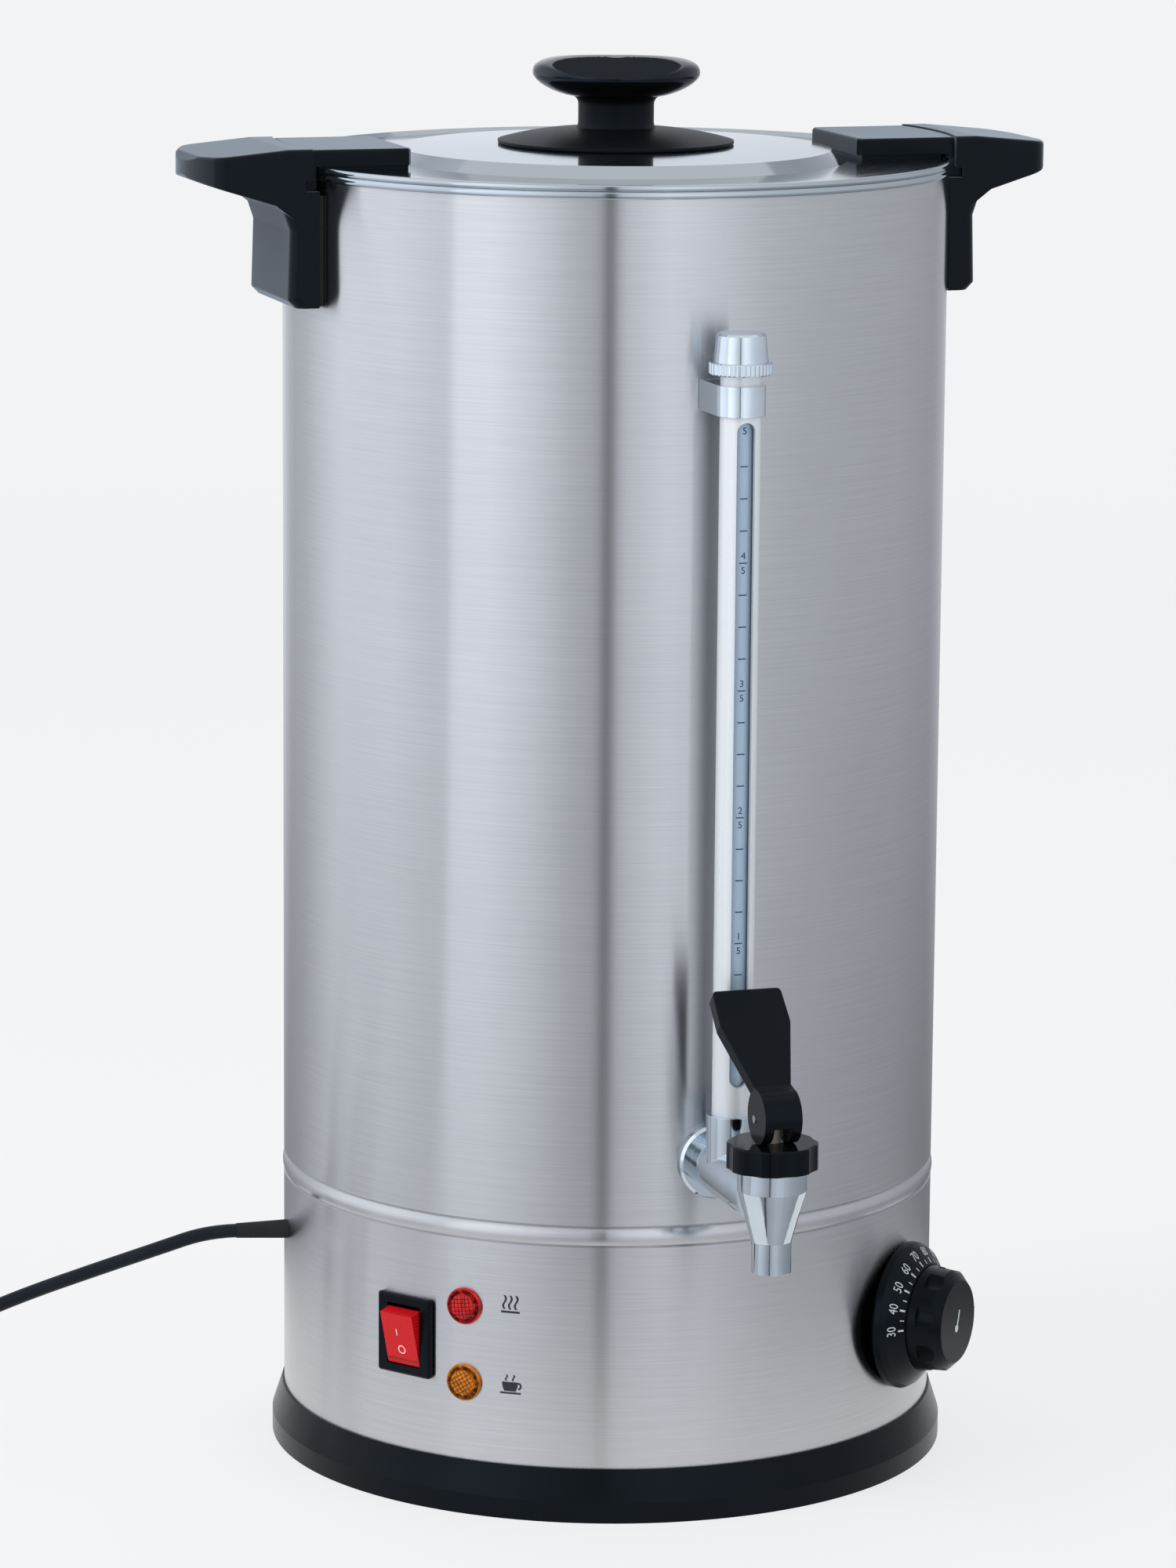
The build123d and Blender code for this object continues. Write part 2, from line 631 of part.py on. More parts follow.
# Control knob: fluted grip with a pointer at its edge and a hub on the spindle.
knob_foot = DIAL_H + 0.3
hub_r = 6.5
flute_r = 9.0
with BuildPart() as dial_knob:
    with BuildSketch(dial_axis_plane):
        with BuildLine():
            Polyline(
                (0, KNOB_TOP),
                (KNOB_TIP_R, KNOB_TOP),
                (KNOB_R - 0.8, KNOB_TOP - 3.6),
                (KNOB_R, knob_foot),
                (KNOB_R - 2.5, knob_foot),
                (KNOB_R - 3.3, KNOB_TOP - 5),
                (hub_r, KNOB_TOP - 5),
                (hub_r, DIAL_FLOOR_T + NUT_H + 1.5),
                (SPINDLE_R, DIAL_FLOOR_T + NUT_H + 1.5),
                (SPINDLE_R, KNOB_TOP - 5),
                (0, KNOB_TOP - 5),
                close=True,
            )
        make_face()
    revolve(axis=dial_axis)
    with BuildSketch(wall_plane(DIAL_ANGLE, BODY_R + knob_foot + 3.2, DIAL_Z)):
        with PolarLocations(KNOB_R + flute_r - 1.9, KNOB_FLUTES, start_angle=POINTER_ANGLE + 180 / KNOB_FLUTES):
            Circle(flute_r)
    extrude(amount=KNOB_TOP, mode=Mode.SUBTRACT)
    with BuildSketch(wall_plane(DIAL_ANGLE, BODY_R + KNOB_TOP - 5.2, DIAL_Z)):
        with Locations(Rotation(0, 0, POINTER_ANGLE)):
            with BuildLine():
                Polyline((KNOB_R - 2.4, -1.8), (KNOB_R + 2.2, 0), (KNOB_R - 2.4, 1.8), close=True)
            make_face()
    extrude(amount=2.6)
save(dial_knob.part, "dial_knob")

# ---------------------------------------------------------------- rocker switch
cavity_half = ROCKER_L / 2 + 1.3
cavity_w = ROCKER_W + 2 * ROCKER_GAP
pivot_reach = BODY_R - ROCKER_PIVOT_IN
switch_face = BODY_R + BEZEL_T
rocker_depth = 6.0
rocker_skirt = 0.5
cavity_depth = BEZEL_T + ROCKER_PIVOT_IN + rocker_depth + 3
rocker_plane = Plane(
    origin=wall_plane(SWITCH_ANGLE, pivot_reach, SWITCH_Z).origin,
    x_dir=wall_plane(SWITCH_ANGLE, 0, 0).z_dir,
    z_dir=-wall_plane(SWITCH_ANGLE, 0, 0).x_dir,
)
switch_axis = Axis(rocker_plane.origin, rocker_plane.x_dir)
with BuildPart() as switch_housing:
    with BuildSketch(wall_plane(SWITCH_ANGLE, BODY_R, SWITCH_Z)):
        RectangleRounded(BEZEL_W, BEZEL_H, 1.2)
    extrude(amount=BEZEL_T)
    chamfer(faces().sort_by(switch_axis)[-1].edges(), 0.7)
    with BuildSketch(wall_plane(SWITCH_ANGLE, BODY_R - SWITCH_BODY_D, SWITCH_Z)):
        Rectangle(SWITCH_BODY_W, SWITCH_BODY_H)
    extrude(amount=SWITCH_BODY_D)
    with BuildSketch(wall_plane(SWITCH_ANGLE, switch_face - cavity_depth, SWITCH_Z)):
        Rectangle(cavity_w, 2 * cavity_half)
    extrude(amount=cavity_depth, mode=Mode.SUBTRACT)
    with BuildSketch(rocker_plane):
        Circle(ROCKER_PIN_R + RUNNING)
    extrude(amount=cavity_w / 2 + 1.6, both=True, mode=Mode.SUBTRACT)
save(switch_housing.part, "switch_housing")

# Rocker, drawn level and then tipped with its upper end out, which is off.
with BuildPart() as switch_rocker:
    with BuildSketch(Plane.YZ):
        with BuildLine():
            Polyline(
                (ROCKER_L / 2, ROCKER_FACE),
                (ROCKER_L / 2, -rocker_skirt),
                (ROCKER_L / 5, -rocker_depth),
                (-ROCKER_L / 5, -rocker_depth),
                (-ROCKER_L / 2, -rocker_skirt),
                (-ROCKER_L / 2, ROCKER_FACE),
                close=True,
            )
        make_face()
    extrude(amount=ROCKER_W / 2, both=True)
    with BuildSketch(Plane.YZ):
        Circle(ROCKER_PIN_R)
    extrude(amount=cavity_w / 2 + 1.4, both=True)
rocker = switch_rocker.part.rotate(Axis.X, ROCKER_TILT)
rocker = Compound(
    children=[
        solid.moved(wall_plane(SWITCH_ANGLE, pivot_reach, SWITCH_Z).location) for solid in rocker.solids()
    ]
)
save(rocker, "switch_rocker")

tab_reach = BODY_R - SWITCH_BODY_D
with BuildPart() as switch_tabs:
    with BuildSketch(wall_plane(SWITCH_ANGLE, tab_reach - 8, SWITCH_Z)):
        with GridLocations(12, 14, 2, 2):
            Rectangle(6.3, 0.8)
    extrude(amount=8)
save(switch_tabs.part, "switch_tabs")

# ---------------------------------------------------------------- indicator lamps
lens_in = 10.0
lamp_body_d = 12.0
for lamp_z, lamp_name in zip(LAMP_Z, ("red_lamp", "amber_lamp")):
    with BuildPart() as lamp_lens:
        with BuildSketch(wall_plane(LAMP_ANGLE, BODY_R, lamp_z)):
            Circle(LAMP_R)
        extrude(amount=LAMP_RIM_T)
        outwards = Axis((0, 0, 0), wall_plane(LAMP_ANGLE, 0, 0).z_dir)
        chamfer(edges().filter_by(GeomType.CIRCLE).sort_by(outwards)[-1], 0.6)
        with BuildSketch(wall_plane(LAMP_ANGLE, BODY_R + LAMP_RIM_T, lamp_z)):
            Circle(LAMP_BARREL_R)
        extrude(amount=0.8, taper=30)
        with BuildSketch(wall_plane(LAMP_ANGLE, BODY_R - lens_in, lamp_z)):
            Circle(LAMP_BARREL_R)
        extrude(amount=lens_in)
    save(lamp_lens.part, lamp_name)

with BuildPart() as lamp_bodies:
    for lamp_z in LAMP_Z:
        with BuildSketch(wall_plane(LAMP_ANGLE, BODY_R - lens_in - lamp_body_d, lamp_z)):
            Circle(LAMP_BARREL_R - 0.4)
        extrude(amount=lamp_body_d)
        with BuildSketch(wall_plane(LAMP_ANGLE, BODY_R - lens_in - lamp_body_d - 7, lamp_z)):
            with Locations((-2.5, 0), (2.5, 0)):
                Rectangle(0.8, 4.8)
        extrude(amount=7)
save(lamp_bodies.part, "lamp_bodies")

# ---------------------------------------------------------------- terminal block and wires
block_x, block_y = -58.0, 20.0
block_w, block_d, block_h = 20.0, 36.0, 17.0
with BuildPart() as terminal_block:
    with BuildSketch(Plane.XY.offset(RING_SHELF_Z)):
        with Locations((block_x, block_y)):
            Rectangle(block_w, block_d)
    extrude(amount=block_h)
    with BuildSketch(Plane.XY.offset(RING_SHELF_Z + block_h - 6)):
        with Locations((block_x, block_y)):
            with GridLocations(0, 12, 1, 3):
                Circle(2.2)
    extrude(amount=6, mode=Mode.SUBTRACT)
save(terminal_block.part, "terminal_block")

# Wires: lead to block, block to switch, switch to thermostat, and back to the heater's pins.
WIRE_R = 1.2
wire_bend = 7.0
block_top = RING_SHELF_Z + block_h
switch_tab = wall_plane(SWITCH_ANGLE, tab_reach - 8 - RUNNING, SWITCH_Z + 7)
gland_inner = wall_plane(CORD_ANGLE, BODY_R - 14, CORD_Z)
heater_pin_x = ELEMENT_RING_R * cos(radians(pin_angle))
heater_pin_y = ELEMENT_RING_R * sin(radians(pin_angle))
heater_pin_z = HEATER_Z - ELEMENT_R - ELEMENT_PIN_L
WIRE_ROUTES = (
    (
        tuple(gland_inner.origin),
        tuple(wall_plane(CORD_ANGLE, BODY_R - 34, CORD_Z).origin),
        (-76.0, 20.0, 50.0),
        (block_x - 5, block_y, 45.0),
        (block_x - 5, block_y, block_top),
    ),
    (
        (block_x + 5, block_y - 12, block_top),
        (block_x + 5, block_y - 12, 52.0),
        (-62.0, -30.0, 58.0),
        tuple(wall_plane(SWITCH_ANGLE, tab_reach - 26, SWITCH_Z + 7).origin),
        tuple(switch_tab.origin),
    ),
    (
        (block_x + 5, block_y + 12, block_top),
        (block_x + 5, block_y + 12, 50.0),
        (heater_pin_x, heater_pin_y, 66.0),
        (heater_pin_x, heater_pin_y, heater_pin_z),
    ),
)
with BuildPart() as inner_wires:
    for route in WIRE_ROUTES:
        with BuildLine() as wire_line:
            FilletPolyline(*route, radius=wire_bend)
        wire_path = wire_line.wires()[0]
        with BuildSketch(Plane(origin=wire_path @ 0, z_dir=wire_path % 0)):
            Circle(WIRE_R)
        sweep(path=wire_path)
save(inner_wires.part, "inner_wires")

# ---------------------------------------------------------------- handles
HANDLE_NAMES = {-1: "left_handle", 1: "right_handle"}
GASKET_NAMES = {-1: "left_gasket", 1: "right_gasket"}
inner_r = LUG_R + LUG_GAP
gasket_r = BODY_R + SEATED
for side in (-1, 1):
    with BuildPart() as handle:
        with BuildSketch(Plane.XZ):
            with BuildLine():
                Polyline(
                    (side * (BODY_R - 12), HANDLE_LEG_BOTTOM),
                    (side * (HANDLE_LEG_X - 3), HANDLE_LEG_BOTTOM),
                    (side * HANDLE_LEG_X, HANDLE_LEG_BOTTOM + 3),
                    (side * (HANDLE_LEG_X - 0.8), GRIP_UNDER_Z - 7),
                    (side * (HANDLE_LEG_X + 1.6), GRIP_UNDER_Z),
                    (side * (HANDLE_LEG_X + 5), GRIP_UNDER_Z + 2.6),
                    (side * (HANDLE_REACH - 5), HANDLE_TOP - 13.4),
                    (side * (HANDLE_REACH - 1), HANDLE_TOP - 12),
                    (side * HANDLE_REACH, HANDLE_TOP - 10.5),
                    (side * HANDLE_REACH, HANDLE_TOP - 5.5),
                    (side * (HANDLE_REACH - 3), HANDLE_TOP - 3),
                    (side * (LUG_R + 6), HANDLE_TOP),
                    (side * (BODY_R - 12), HANDLE_TOP),
                    close=True,
                )
            make_face()
        extrude(amount=HANDLE_HALF_W, both=True)
        with BuildSketch(Plane.XY.offset(HANDLE_LEG_BOTTOM - 5)) as plan:
            with BuildLine():
                Line((side * 90, -HANDLE_HALF_W), (side * HANDLE_SIDE_REACH, -HANDLE_HALF_W))
                ThreePointArc(
                    (side * HANDLE_SIDE_REACH, -HANDLE_HALF_W),
                    (side * HANDLE_REACH, 0),
                    (side * HANDLE_SIDE_REACH, HANDLE_HALF_W),
                )
                Line((side * HANDLE_SIDE_REACH, HANDLE_HALF_W), (side * 90, HANDLE_HALF_W))
                Line((side * 90, HANDLE_HALF_W), (side * 90, -HANDLE_HALF_W))
            make_face()
            fillet(plan.vertices().sort_by(Axis.X)[-2:] if side > 0 else plan.vertices().sort_by(Axis.X)[:2], 7)
        extrude(amount=HANDLE_TOP - HANDLE_LEG_BOTTOM + 10, mode=Mode.INTERSECT)
        leg_corners = [
            edge
            for edge in handle.edges()
            if abs(edge.center().Y) > HANDLE_HALF_W - RUNNING
            and abs(edge.center().X) > BODY_R + 2
            and edge.center().Z < GRIP_UNDER_Z
        ]
        fillet(leg_corners, HANDLE_CORNER)
        leg_foot = [edge for edge in handle.edges() if edge.center().Z < HANDLE_LEG_BOTTOM + 4]
        fillet(leg_foot, 1.2 * HANDLE_EDGE)
        grip_top = [
            edge
            for edge in handle.edges()
            if edge.center().Z > HANDLE_TOP - 4
            and abs(edge.center().Y) > 1
            and abs(edge.center().X) > BODY_R - 10
        ]
        fillet(grip_top, HANDLE_ROUND)
        grip_rest = [
            edge
            for edge in handle.edges()
            if edge.center().Z > HANDLE_TOP - 4 and abs(edge.center().X) > BODY_R - 10
        ]
        fillet(grip_rest, HANDLE_EDGE)
        grip_under = [
            edge
            for edge in handle.edges()
            if GRIP_UNDER_Z < edge.center().Z < HANDLE_TOP - 11
            and abs(edge.center().Y) > 10
            and abs(edge.center().X) > BODY_R + 3
        ]
        fillet(grip_under, HANDLE_EDGE)
        extrude(
            annulus(0, gasket_r + GASKET_T, HANDLE_LEG_BOTTOM - 5),
            amount=SLOT_Z - HANDLE_LEG_BOTTOM + 5,
            mode=Mode.SUBTRACT,
        )
        extrude(annulus(0, SLOT_R, SLOT_Z), amount=SLOT_H, mode=Mode.SUBTRACT)
        extrude(annulus(0, inner_r, SLOT_Z), amount=HANDLE_TOP - SLOT_Z + 5, mode=Mode.SUBTRACT)
        for spot in handle_screw_spots(side, BODY_R - 2):
            with BuildSketch(spot):
                Circle(handle_screw_r)
            extrude(amount=handle_screw_l + 2, mode=Mode.SUBTRACT)
    save(handle.part, HANDLE_NAMES[side])

    # Thin gasket that fills the space between the leg and the barrel.
    with BuildPart() as gasket:
        extrude(
            annulus(gasket_r, gasket_r + GASKET_T, HANDLE_LEG_BOTTOM + 1),
            amount=SLOT_Z - HANDLE_LEG_BOTTOM - 2.5,
        )
        with BuildSketch(Plane.XY.offset(HANDLE_LEG_BOTTOM)):
            with Locations((side * BODY_R, 0)):
                Rectangle(40, 2 * HANDLE_HALF_W - 1)
        extrude(amount=60, mode=Mode.INTERSECT)
        for spot in handle_screw_spots(side, BODY_R - 2):
            with BuildSketch(spot):
                Circle(handle_screw_r + RUNNING)
            extrude(amount=8, mode=Mode.SUBTRACT)
    save(gasket.part, GASKET_NAMES[side])

with BuildPart() as handle_screws:
    for side in (-1, 1):
        for spot in handle_screw_spots(side, SHELL_IN - 2 * RUNNING):
            with BuildSketch(spot):
                Circle(handle_screw_r)
            extrude(amount=handle_screw_l)
            with BuildSketch(spot.offset(-SCREW_HEAD_H)):
                Circle(2 * handle_screw_r)
            extrude(amount=SCREW_HEAD_H)
save(handle_screws.part, "handle_screws")

# ---------------------------------------------------------------- lid
lid_bottom = LID_Z
lid_sheet_top = lid_bottom + SHEET
skirt_r = TANK_IN - 0.8
with BuildPart() as lid:
    with BuildSketch(Plane.XZ):
        with BuildLine():
            Polyline(
                (0, LID_TOP - SHEET),
                (KNOB_FLANGE_R, LID_TOP - SHEET),
                (LID_STEP_R - 4, LID_TOP - 1.4 - SHEET),
                (LID_STEP_R + 1.5, lid_bottom),
                (skirt_r - SHEET, lid_bottom),
                (skirt_r - SHEET, lid_bottom - LID_SKIRT_H),
                (skirt_r, lid_bottom - LID_SKIRT_H),
                (skirt_r, lid_bottom),
                (RIM_R - 0.5, lid_bottom),
            )
            ThreePointArc(
                (RIM_R - 0.5, lid_bottom),
                (RIM_R + 0.1, lid_bottom + LID_BEAD_H / 2),
                (RIM_R - 0.5, lid_bottom + LID_BEAD_H),
            )
            Polyline(
                (RIM_R - 0.5, lid_bottom + LID_BEAD_H),
                (RIM_R - 1.6, lid_bottom + LID_BEAD_H),
                (RIM_R - 3, lid_sheet_top),
                (LID_STEP_R + 2, lid_sheet_top),
                (LID_STEP_R - 3.4, LID_TOP - 1.4),
                (KNOB_FLANGE_R, LID_TOP),
                (0, LID_TOP),
                (0, LID_TOP - SHEET),
            )
        make_face()
    revolve(axis=Axis.Z)
    with BuildSketch(Plane.XY.offset(LID_TOP - 2)):
        Circle(LID_SCREW_R + RUNNING)
    extrude(amount=4, mode=Mode.SUBTRACT)
    with BuildSketch(Plane.XY.offset(lid_bottom - 1)):
        with GridLocations(2 * LUG_SCREW_X, 2 * LUG_SCREW_Y, 2, 2):
            Circle(LUG_SCREW_R + RUNNING)
    extrude(amount=4, mode=Mode.SUBTRACT)
save(lid.part, "lid")

# Bayonet lugs: blocks on the lid that reach over the rim, with a foot under the handle's overhang.
LUG_NAMES = {-1: "left_lug", 1: "right_lug"}
lug_clear_r = RIM_R + 0.1 + LUG_GAP
foot_r = SLOT_R - LUG_GAP
foot_low = SLOT_Z + (SLOT_H - FOOT_T) / 2
bead_clear_z = lid_bottom + LID_BEAD_H + 0.05
for side in (-1, 1):
    with BuildPart() as lug:
        with BuildSketch(Plane.XY.offset(foot_low)):
            with BuildLine():
                Polyline(
                    (side * LUG_INNER_X, -LUG_HALF_W + 3),
                    (side * (LUG_INNER_X + 1.5), -LUG_HALF_W),
                    (side * foot_r, -LUG_HALF_W),
                    (side * foot_r, LUG_HALF_W),
                    (side * (LUG_INNER_X + 1.5), LUG_HALF_W),
                    (side * LUG_INNER_X, LUG_HALF_W - 3),
                    close=True,
                )
            make_face()
        extrude(amount=LUG_TOP - foot_low)
        extrude(annulus(LUG_R, 2 * foot_r, foot_low + FOOT_T), amount=LUG_TOP, mode=Mode.SUBTRACT)
        extrude(annulus(foot_r, 2 * foot_r, foot_low), amount=FOOT_T, mode=Mode.SUBTRACT)
        extrude(annulus(0, lug_clear_r, foot_low), amount=bead_clear_z - foot_low, mode=Mode.SUBTRACT)
    # The block's underside follows the lid: plain over the sheet, cut back over the rolled bead.
    with BuildPart() as lug_pad:
        with BuildSketch(Plane.XY.offset(lid_sheet_top)):
            with BuildLine():
                Polyline(
                    (side * (LUG_INNER_X + 1.5), -LUG_HALF_W + 1),
                    (side * (LUG_R - 2), -LUG_HALF_W + 1),
                    (side * (LUG_R - 2), LUG_HALF_W - 1),
                    (side * (LUG_INNER_X + 1.5), LUG_HALF_W - 1),
                    close=True,
                )
            make_face()
        extrude(amount=LID_BEAD_H)
        extrude(annulus(RIM_R - 3.4, 2 * RIM_R, lid_sheet_top), amount=LID_BEAD_H, mode=Mode.SUBTRACT)
    with BuildPart() as lug_whole:
        add(lug.part)
        add(lug_pad.part)
        fillet([edge for edge in lug_whole.edges() if edge.center().Z > LUG_TOP - RUNNING], LUG_ROUND)
        with BuildSketch(Plane.XY.offset(lid_sheet_top - 1)):
            with Locations((side * LUG_SCREW_X, -LUG_SCREW_Y), (side * LUG_SCREW_X, LUG_SCREW_Y)):
                Circle(LUG_SCREW_R)
        extrude(amount=6, mode=Mode.SUBTRACT)
    save(lug_whole.part, LUG_NAMES[side])

lug_screw_l = SHEET + 4.5
with BuildPart() as lug_screws:
    with BuildSketch(Plane.XY.offset(lid_bottom)):
        with GridLocations(2 * LUG_SCREW_X, 2 * LUG_SCREW_Y, 2, 2):
            Circle(LUG_SCREW_R)
    extrude(amount=lug_screw_l)
    with BuildSketch(Plane.XY.offset(lid_bottom - SCREW_HEAD_H)):
        with GridLocations(2 * LUG_SCREW_X, 2 * LUG_SCREW_Y, 2, 2):
            Circle(2 * LUG_SCREW_R)
    extrude(amount=SCREW_HEAD_H)
save(lug_screws.part, "lug_screws")

# Lid knob: flange, neck and mushroom head with two sloping finger facets.
facet_slope = 22.0
facet_y = 13.0
facet_top = LID_KNOB_TOP - 0.6
facet_fall = tan(radians(facet_slope))
with BuildPart() as lid_knob:
    with BuildSketch(Plane.XZ):
        with BuildLine():
            Polyline(
                (0, LID_TOP),
                (KNOB_FLANGE_R - 0.5, LID_TOP),
                (KNOB_FLANGE_R, LID_TOP + 0.5),
                (KNOB_FLANGE_R, LID_TOP + 1.6),
                (LID_KNOB_NECK_R + 1, LID_TOP + 6.4),
                (LID_KNOB_NECK_R, LID_TOP + 8),
                (LID_KNOB_NECK_R, LID_TOP + 15),
            )
            TangentArc(
                (LID_KNOB_NECK_R, LID_TOP + 15), (LID_KNOB_R - 2, LID_KNOB_TOP - 8.1), tangent=(0, 1)
            )
            ThreePointArc(
                (LID_KNOB_R - 2, LID_KNOB_TOP - 8.1),
                (LID_KNOB_R, LID_KNOB_TOP - 5.7),
                (LID_KNOB_R - 1.4, LID_KNOB_TOP - 3.3),
            )
            ThreePointArc(
                (LID_KNOB_R - 1.4, LID_KNOB_TOP - 3.3), (LID_KNOB_R - 10, LID_KNOB_TOP - 0.9), (0, LID_KNOB_TOP)
            )
            Line((0, LID_KNOB_TOP), (0, LID_TOP))
        make_face()
    revolve(axis=Axis.Z)
    with BuildSketch(Plane.YZ):
        for toward in (-1, 1):
            with BuildLine():
                Polyline(
                    (toward * (facet_y - 3), facet_top + 3 * facet_fall),
                    (toward * (facet_y + LID_KNOB_R), facet_top - LID_KNOB_R * facet_fall),
                    (toward * (facet_y + LID_KNOB_R), LID_KNOB_TOP + 5),
                    (toward * (facet_y - 3), LID_KNOB_TOP + 5),
                    close=True,
                )
            make_face()
    extrude(amount=LID_KNOB_R + 5, both=True, mode=Mode.SUBTRACT)
    with BuildSketch(Plane.XY.offset(LID_TOP)):
        Circle(LID_SCREW_R)
    extrude(amount=18, mode=Mode.SUBTRACT)
save(lid_knob.part, "lid_knob")

# Screw of the lid's knob, with a captive washer under the lid.
washer_t = 1.2
with BuildPart() as knob_screw:
    with BuildSketch(Plane.XY.offset(LID_TOP - SHEET - washer_t)):
        Circle(9)
    extrude(amount=washer_t)
    with BuildSketch(Plane.XY.offset(LID_TOP - SHEET - washer_t)):
        Circle(LID_SCREW_R)
    extrude(amount=16)
    with BuildSketch(Plane.XY.offset(LID_TOP - SHEET - washer_t - 3.5)):
        Circle(5.5)
    extrude(amount=3.5)
save(knob_screw.part, "knob_screw")

# ---------------------------------------------------------------- sight gauge
gauge_base = Plane(origin=(0, TUBE_Y, TUBE_FOOT))
tube_top = CAP_KNURL_Z + 5
with BuildPart() as sight_tube:
    with BuildSketch(gauge_base):
        Circle(TUBE_R)
        Circle(TUBE_IN, mode=Mode.SUBTRACT)
    extrude(amount=tube_top - TUBE_FOOT)
    with BuildSketch(wall_plane(0, -TUBE_Y, (WINDOW_BOTTOM + WINDOW_TOP) / 2)):
        SlotOverall(WINDOW_TOP - WINDOW_BOTTOM, SLOT_W, rotation=90)
    extrude(amount=TUBE_R + 2, mode=Mode.SUBTRACT)
save(sight_tube.part, "sight_tube")

seal_h = 4.0
glass_foot = TUBE_FOOT
glass_top = tube_top - 1
with BuildPart() as sight_glass:
    with BuildSketch(Plane(origin=(0, TUBE_Y, glass_foot))):
        Circle(GLASS_R)
        Circle(GLASS_R - GLASS_WALL, mode=Mode.SUBTRACT)
    extrude(amount=glass_top - glass_foot)
save(sight_glass.part, "sight_glass")

with BuildPart() as sight_seals:
    for seal_z in (glass_foot, glass_top - seal_h):
        with BuildSketch(Plane(origin=(0, TUBE_Y, seal_z))):
            Circle(TUBE_IN)
            Circle(GLASS_R, mode=Mode.SUBTRACT)
        extrude(amount=seal_h)
save(sight_seals.part, "sight_seals")

knurl_top = CAP_KNURL_Z + CAP_KNURL_H
with BuildPart() as sight_cap:
    with BuildSketch(Plane.YZ):
        with BuildLine():
            Polyline(
                (TUBE_Y, CAP_KNURL_Z),
                (TUBE_Y - CAP_KNURL_R + 0.5, CAP_KNURL_Z),
                (TUBE_Y - CAP_KNURL_R, CAP_KNURL_Z + 0.5),
                (TUBE_Y - CAP_KNURL_R, knurl_top - 0.5),
                (TUBE_Y - CAP_KNURL_R + 0.5, knurl_top),
                (TUBE_Y - CAP_BASE_R, knurl_top),
                (TUBE_Y - CAP_TOP_R, CAP_TOP - 0.9),
                (TUBE_Y - CAP_TOP_R + 0.9, CAP_TOP),
                (TUBE_Y, CAP_TOP),
                close=True,
            )
        make_face()
    revolve(axis=Axis((0, TUBE_Y, 0), (0, 0, 1)))
    with BuildSketch(Plane(origin=(0, TUBE_Y, CAP_KNURL_Z))):
        with PolarLocations(CAP_KNURL_R + 0.25, CAP_TEETH):
            Circle(0.6)
    extrude(amount=CAP_KNURL_H, mode=Mode.SUBTRACT)
    with BuildSketch(Plane(origin=(0, TUBE_Y, CAP_KNURL_Z))):
        Circle(TUBE_R)
    extrude(amount=tube_top - CAP_KNURL_Z, mode=Mode.SUBTRACT)
save(sight_cap.part, "sight_cap")

# U-shaped clip: a strap round the tube with a foot plate screwed to the barrel.
clip_in = TUBE_R
clip_out = TUBE_R + CLIP_T
clip_foot_y = -BODY_R - RUNNING
with BuildPart() as tube_clip:
    with BuildSketch(Plane.XY.offset(CLIP_Z)):
        with Locations((0, TUBE_Y)):
            Circle(clip_out)
        with Locations((0, (TUBE_Y + clip_foot_y) / 2)):
            Rectangle(2 * clip_out, clip_foot_y - TUBE_Y)
        with Locations((0, TUBE_Y)):
            Circle(clip_in, mode=Mode.SUBTRACT)
        with Locations((0, (TUBE_Y + clip_foot_y - CLIP_T) / 2)):
            Rectangle(2 * clip_in, clip_foot_y - CLIP_T - TUBE_Y, mode=Mode.SUBTRACT)
    extrude(amount=CLIP_H)
    with BuildSketch(wall_plane(0, BODY_R - 2, clip_screw_z)):
        Circle(clip_screw_r)
    extrude(amount=6, mode=Mode.SUBTRACT)
save(tube_clip.part, "tube_clip")

with BuildPart() as clip_screw:
    with BuildSketch(wall_plane(0, -clip_foot_y + CLIP_T, clip_screw_z)):
        Circle(2 * clip_screw_r)
    extrude(amount=1.6)
    with BuildSketch(wall_plane(0, -clip_foot_y + CLIP_T, clip_screw_z)):
        Circle(clip_screw_r)
    extrude(amount=-6)
save(clip_screw.part, "clip_screw")

# ---------------------------------------------------------------- tap
flange_face = BODY_R + FLANGE_T
spout_reach = -SPOUT_Y
with BuildPart() as tap_flange:
    with BuildSketch(wall_plane(0, BODY_R - 2, TAP_Z)):
        Circle(FLANGE_R)
        Circle(SHANK_R, mode=Mode.SUBTRACT)
    extrude(amount=FLANGE_T + 2)
    chamfer(edges().filter_by(GeomType.CIRCLE).group_by(Axis.Y)[0].sort_by(SortBy.RADIUS)[-1], 1)
    extrude(annulus(0, BODY_R + RUNNING, TAP_Z - FLANGE_R), amount=2 * FLANGE_R, mode=Mode.SUBTRACT)
save(tap_flange.part, "tap_flange")

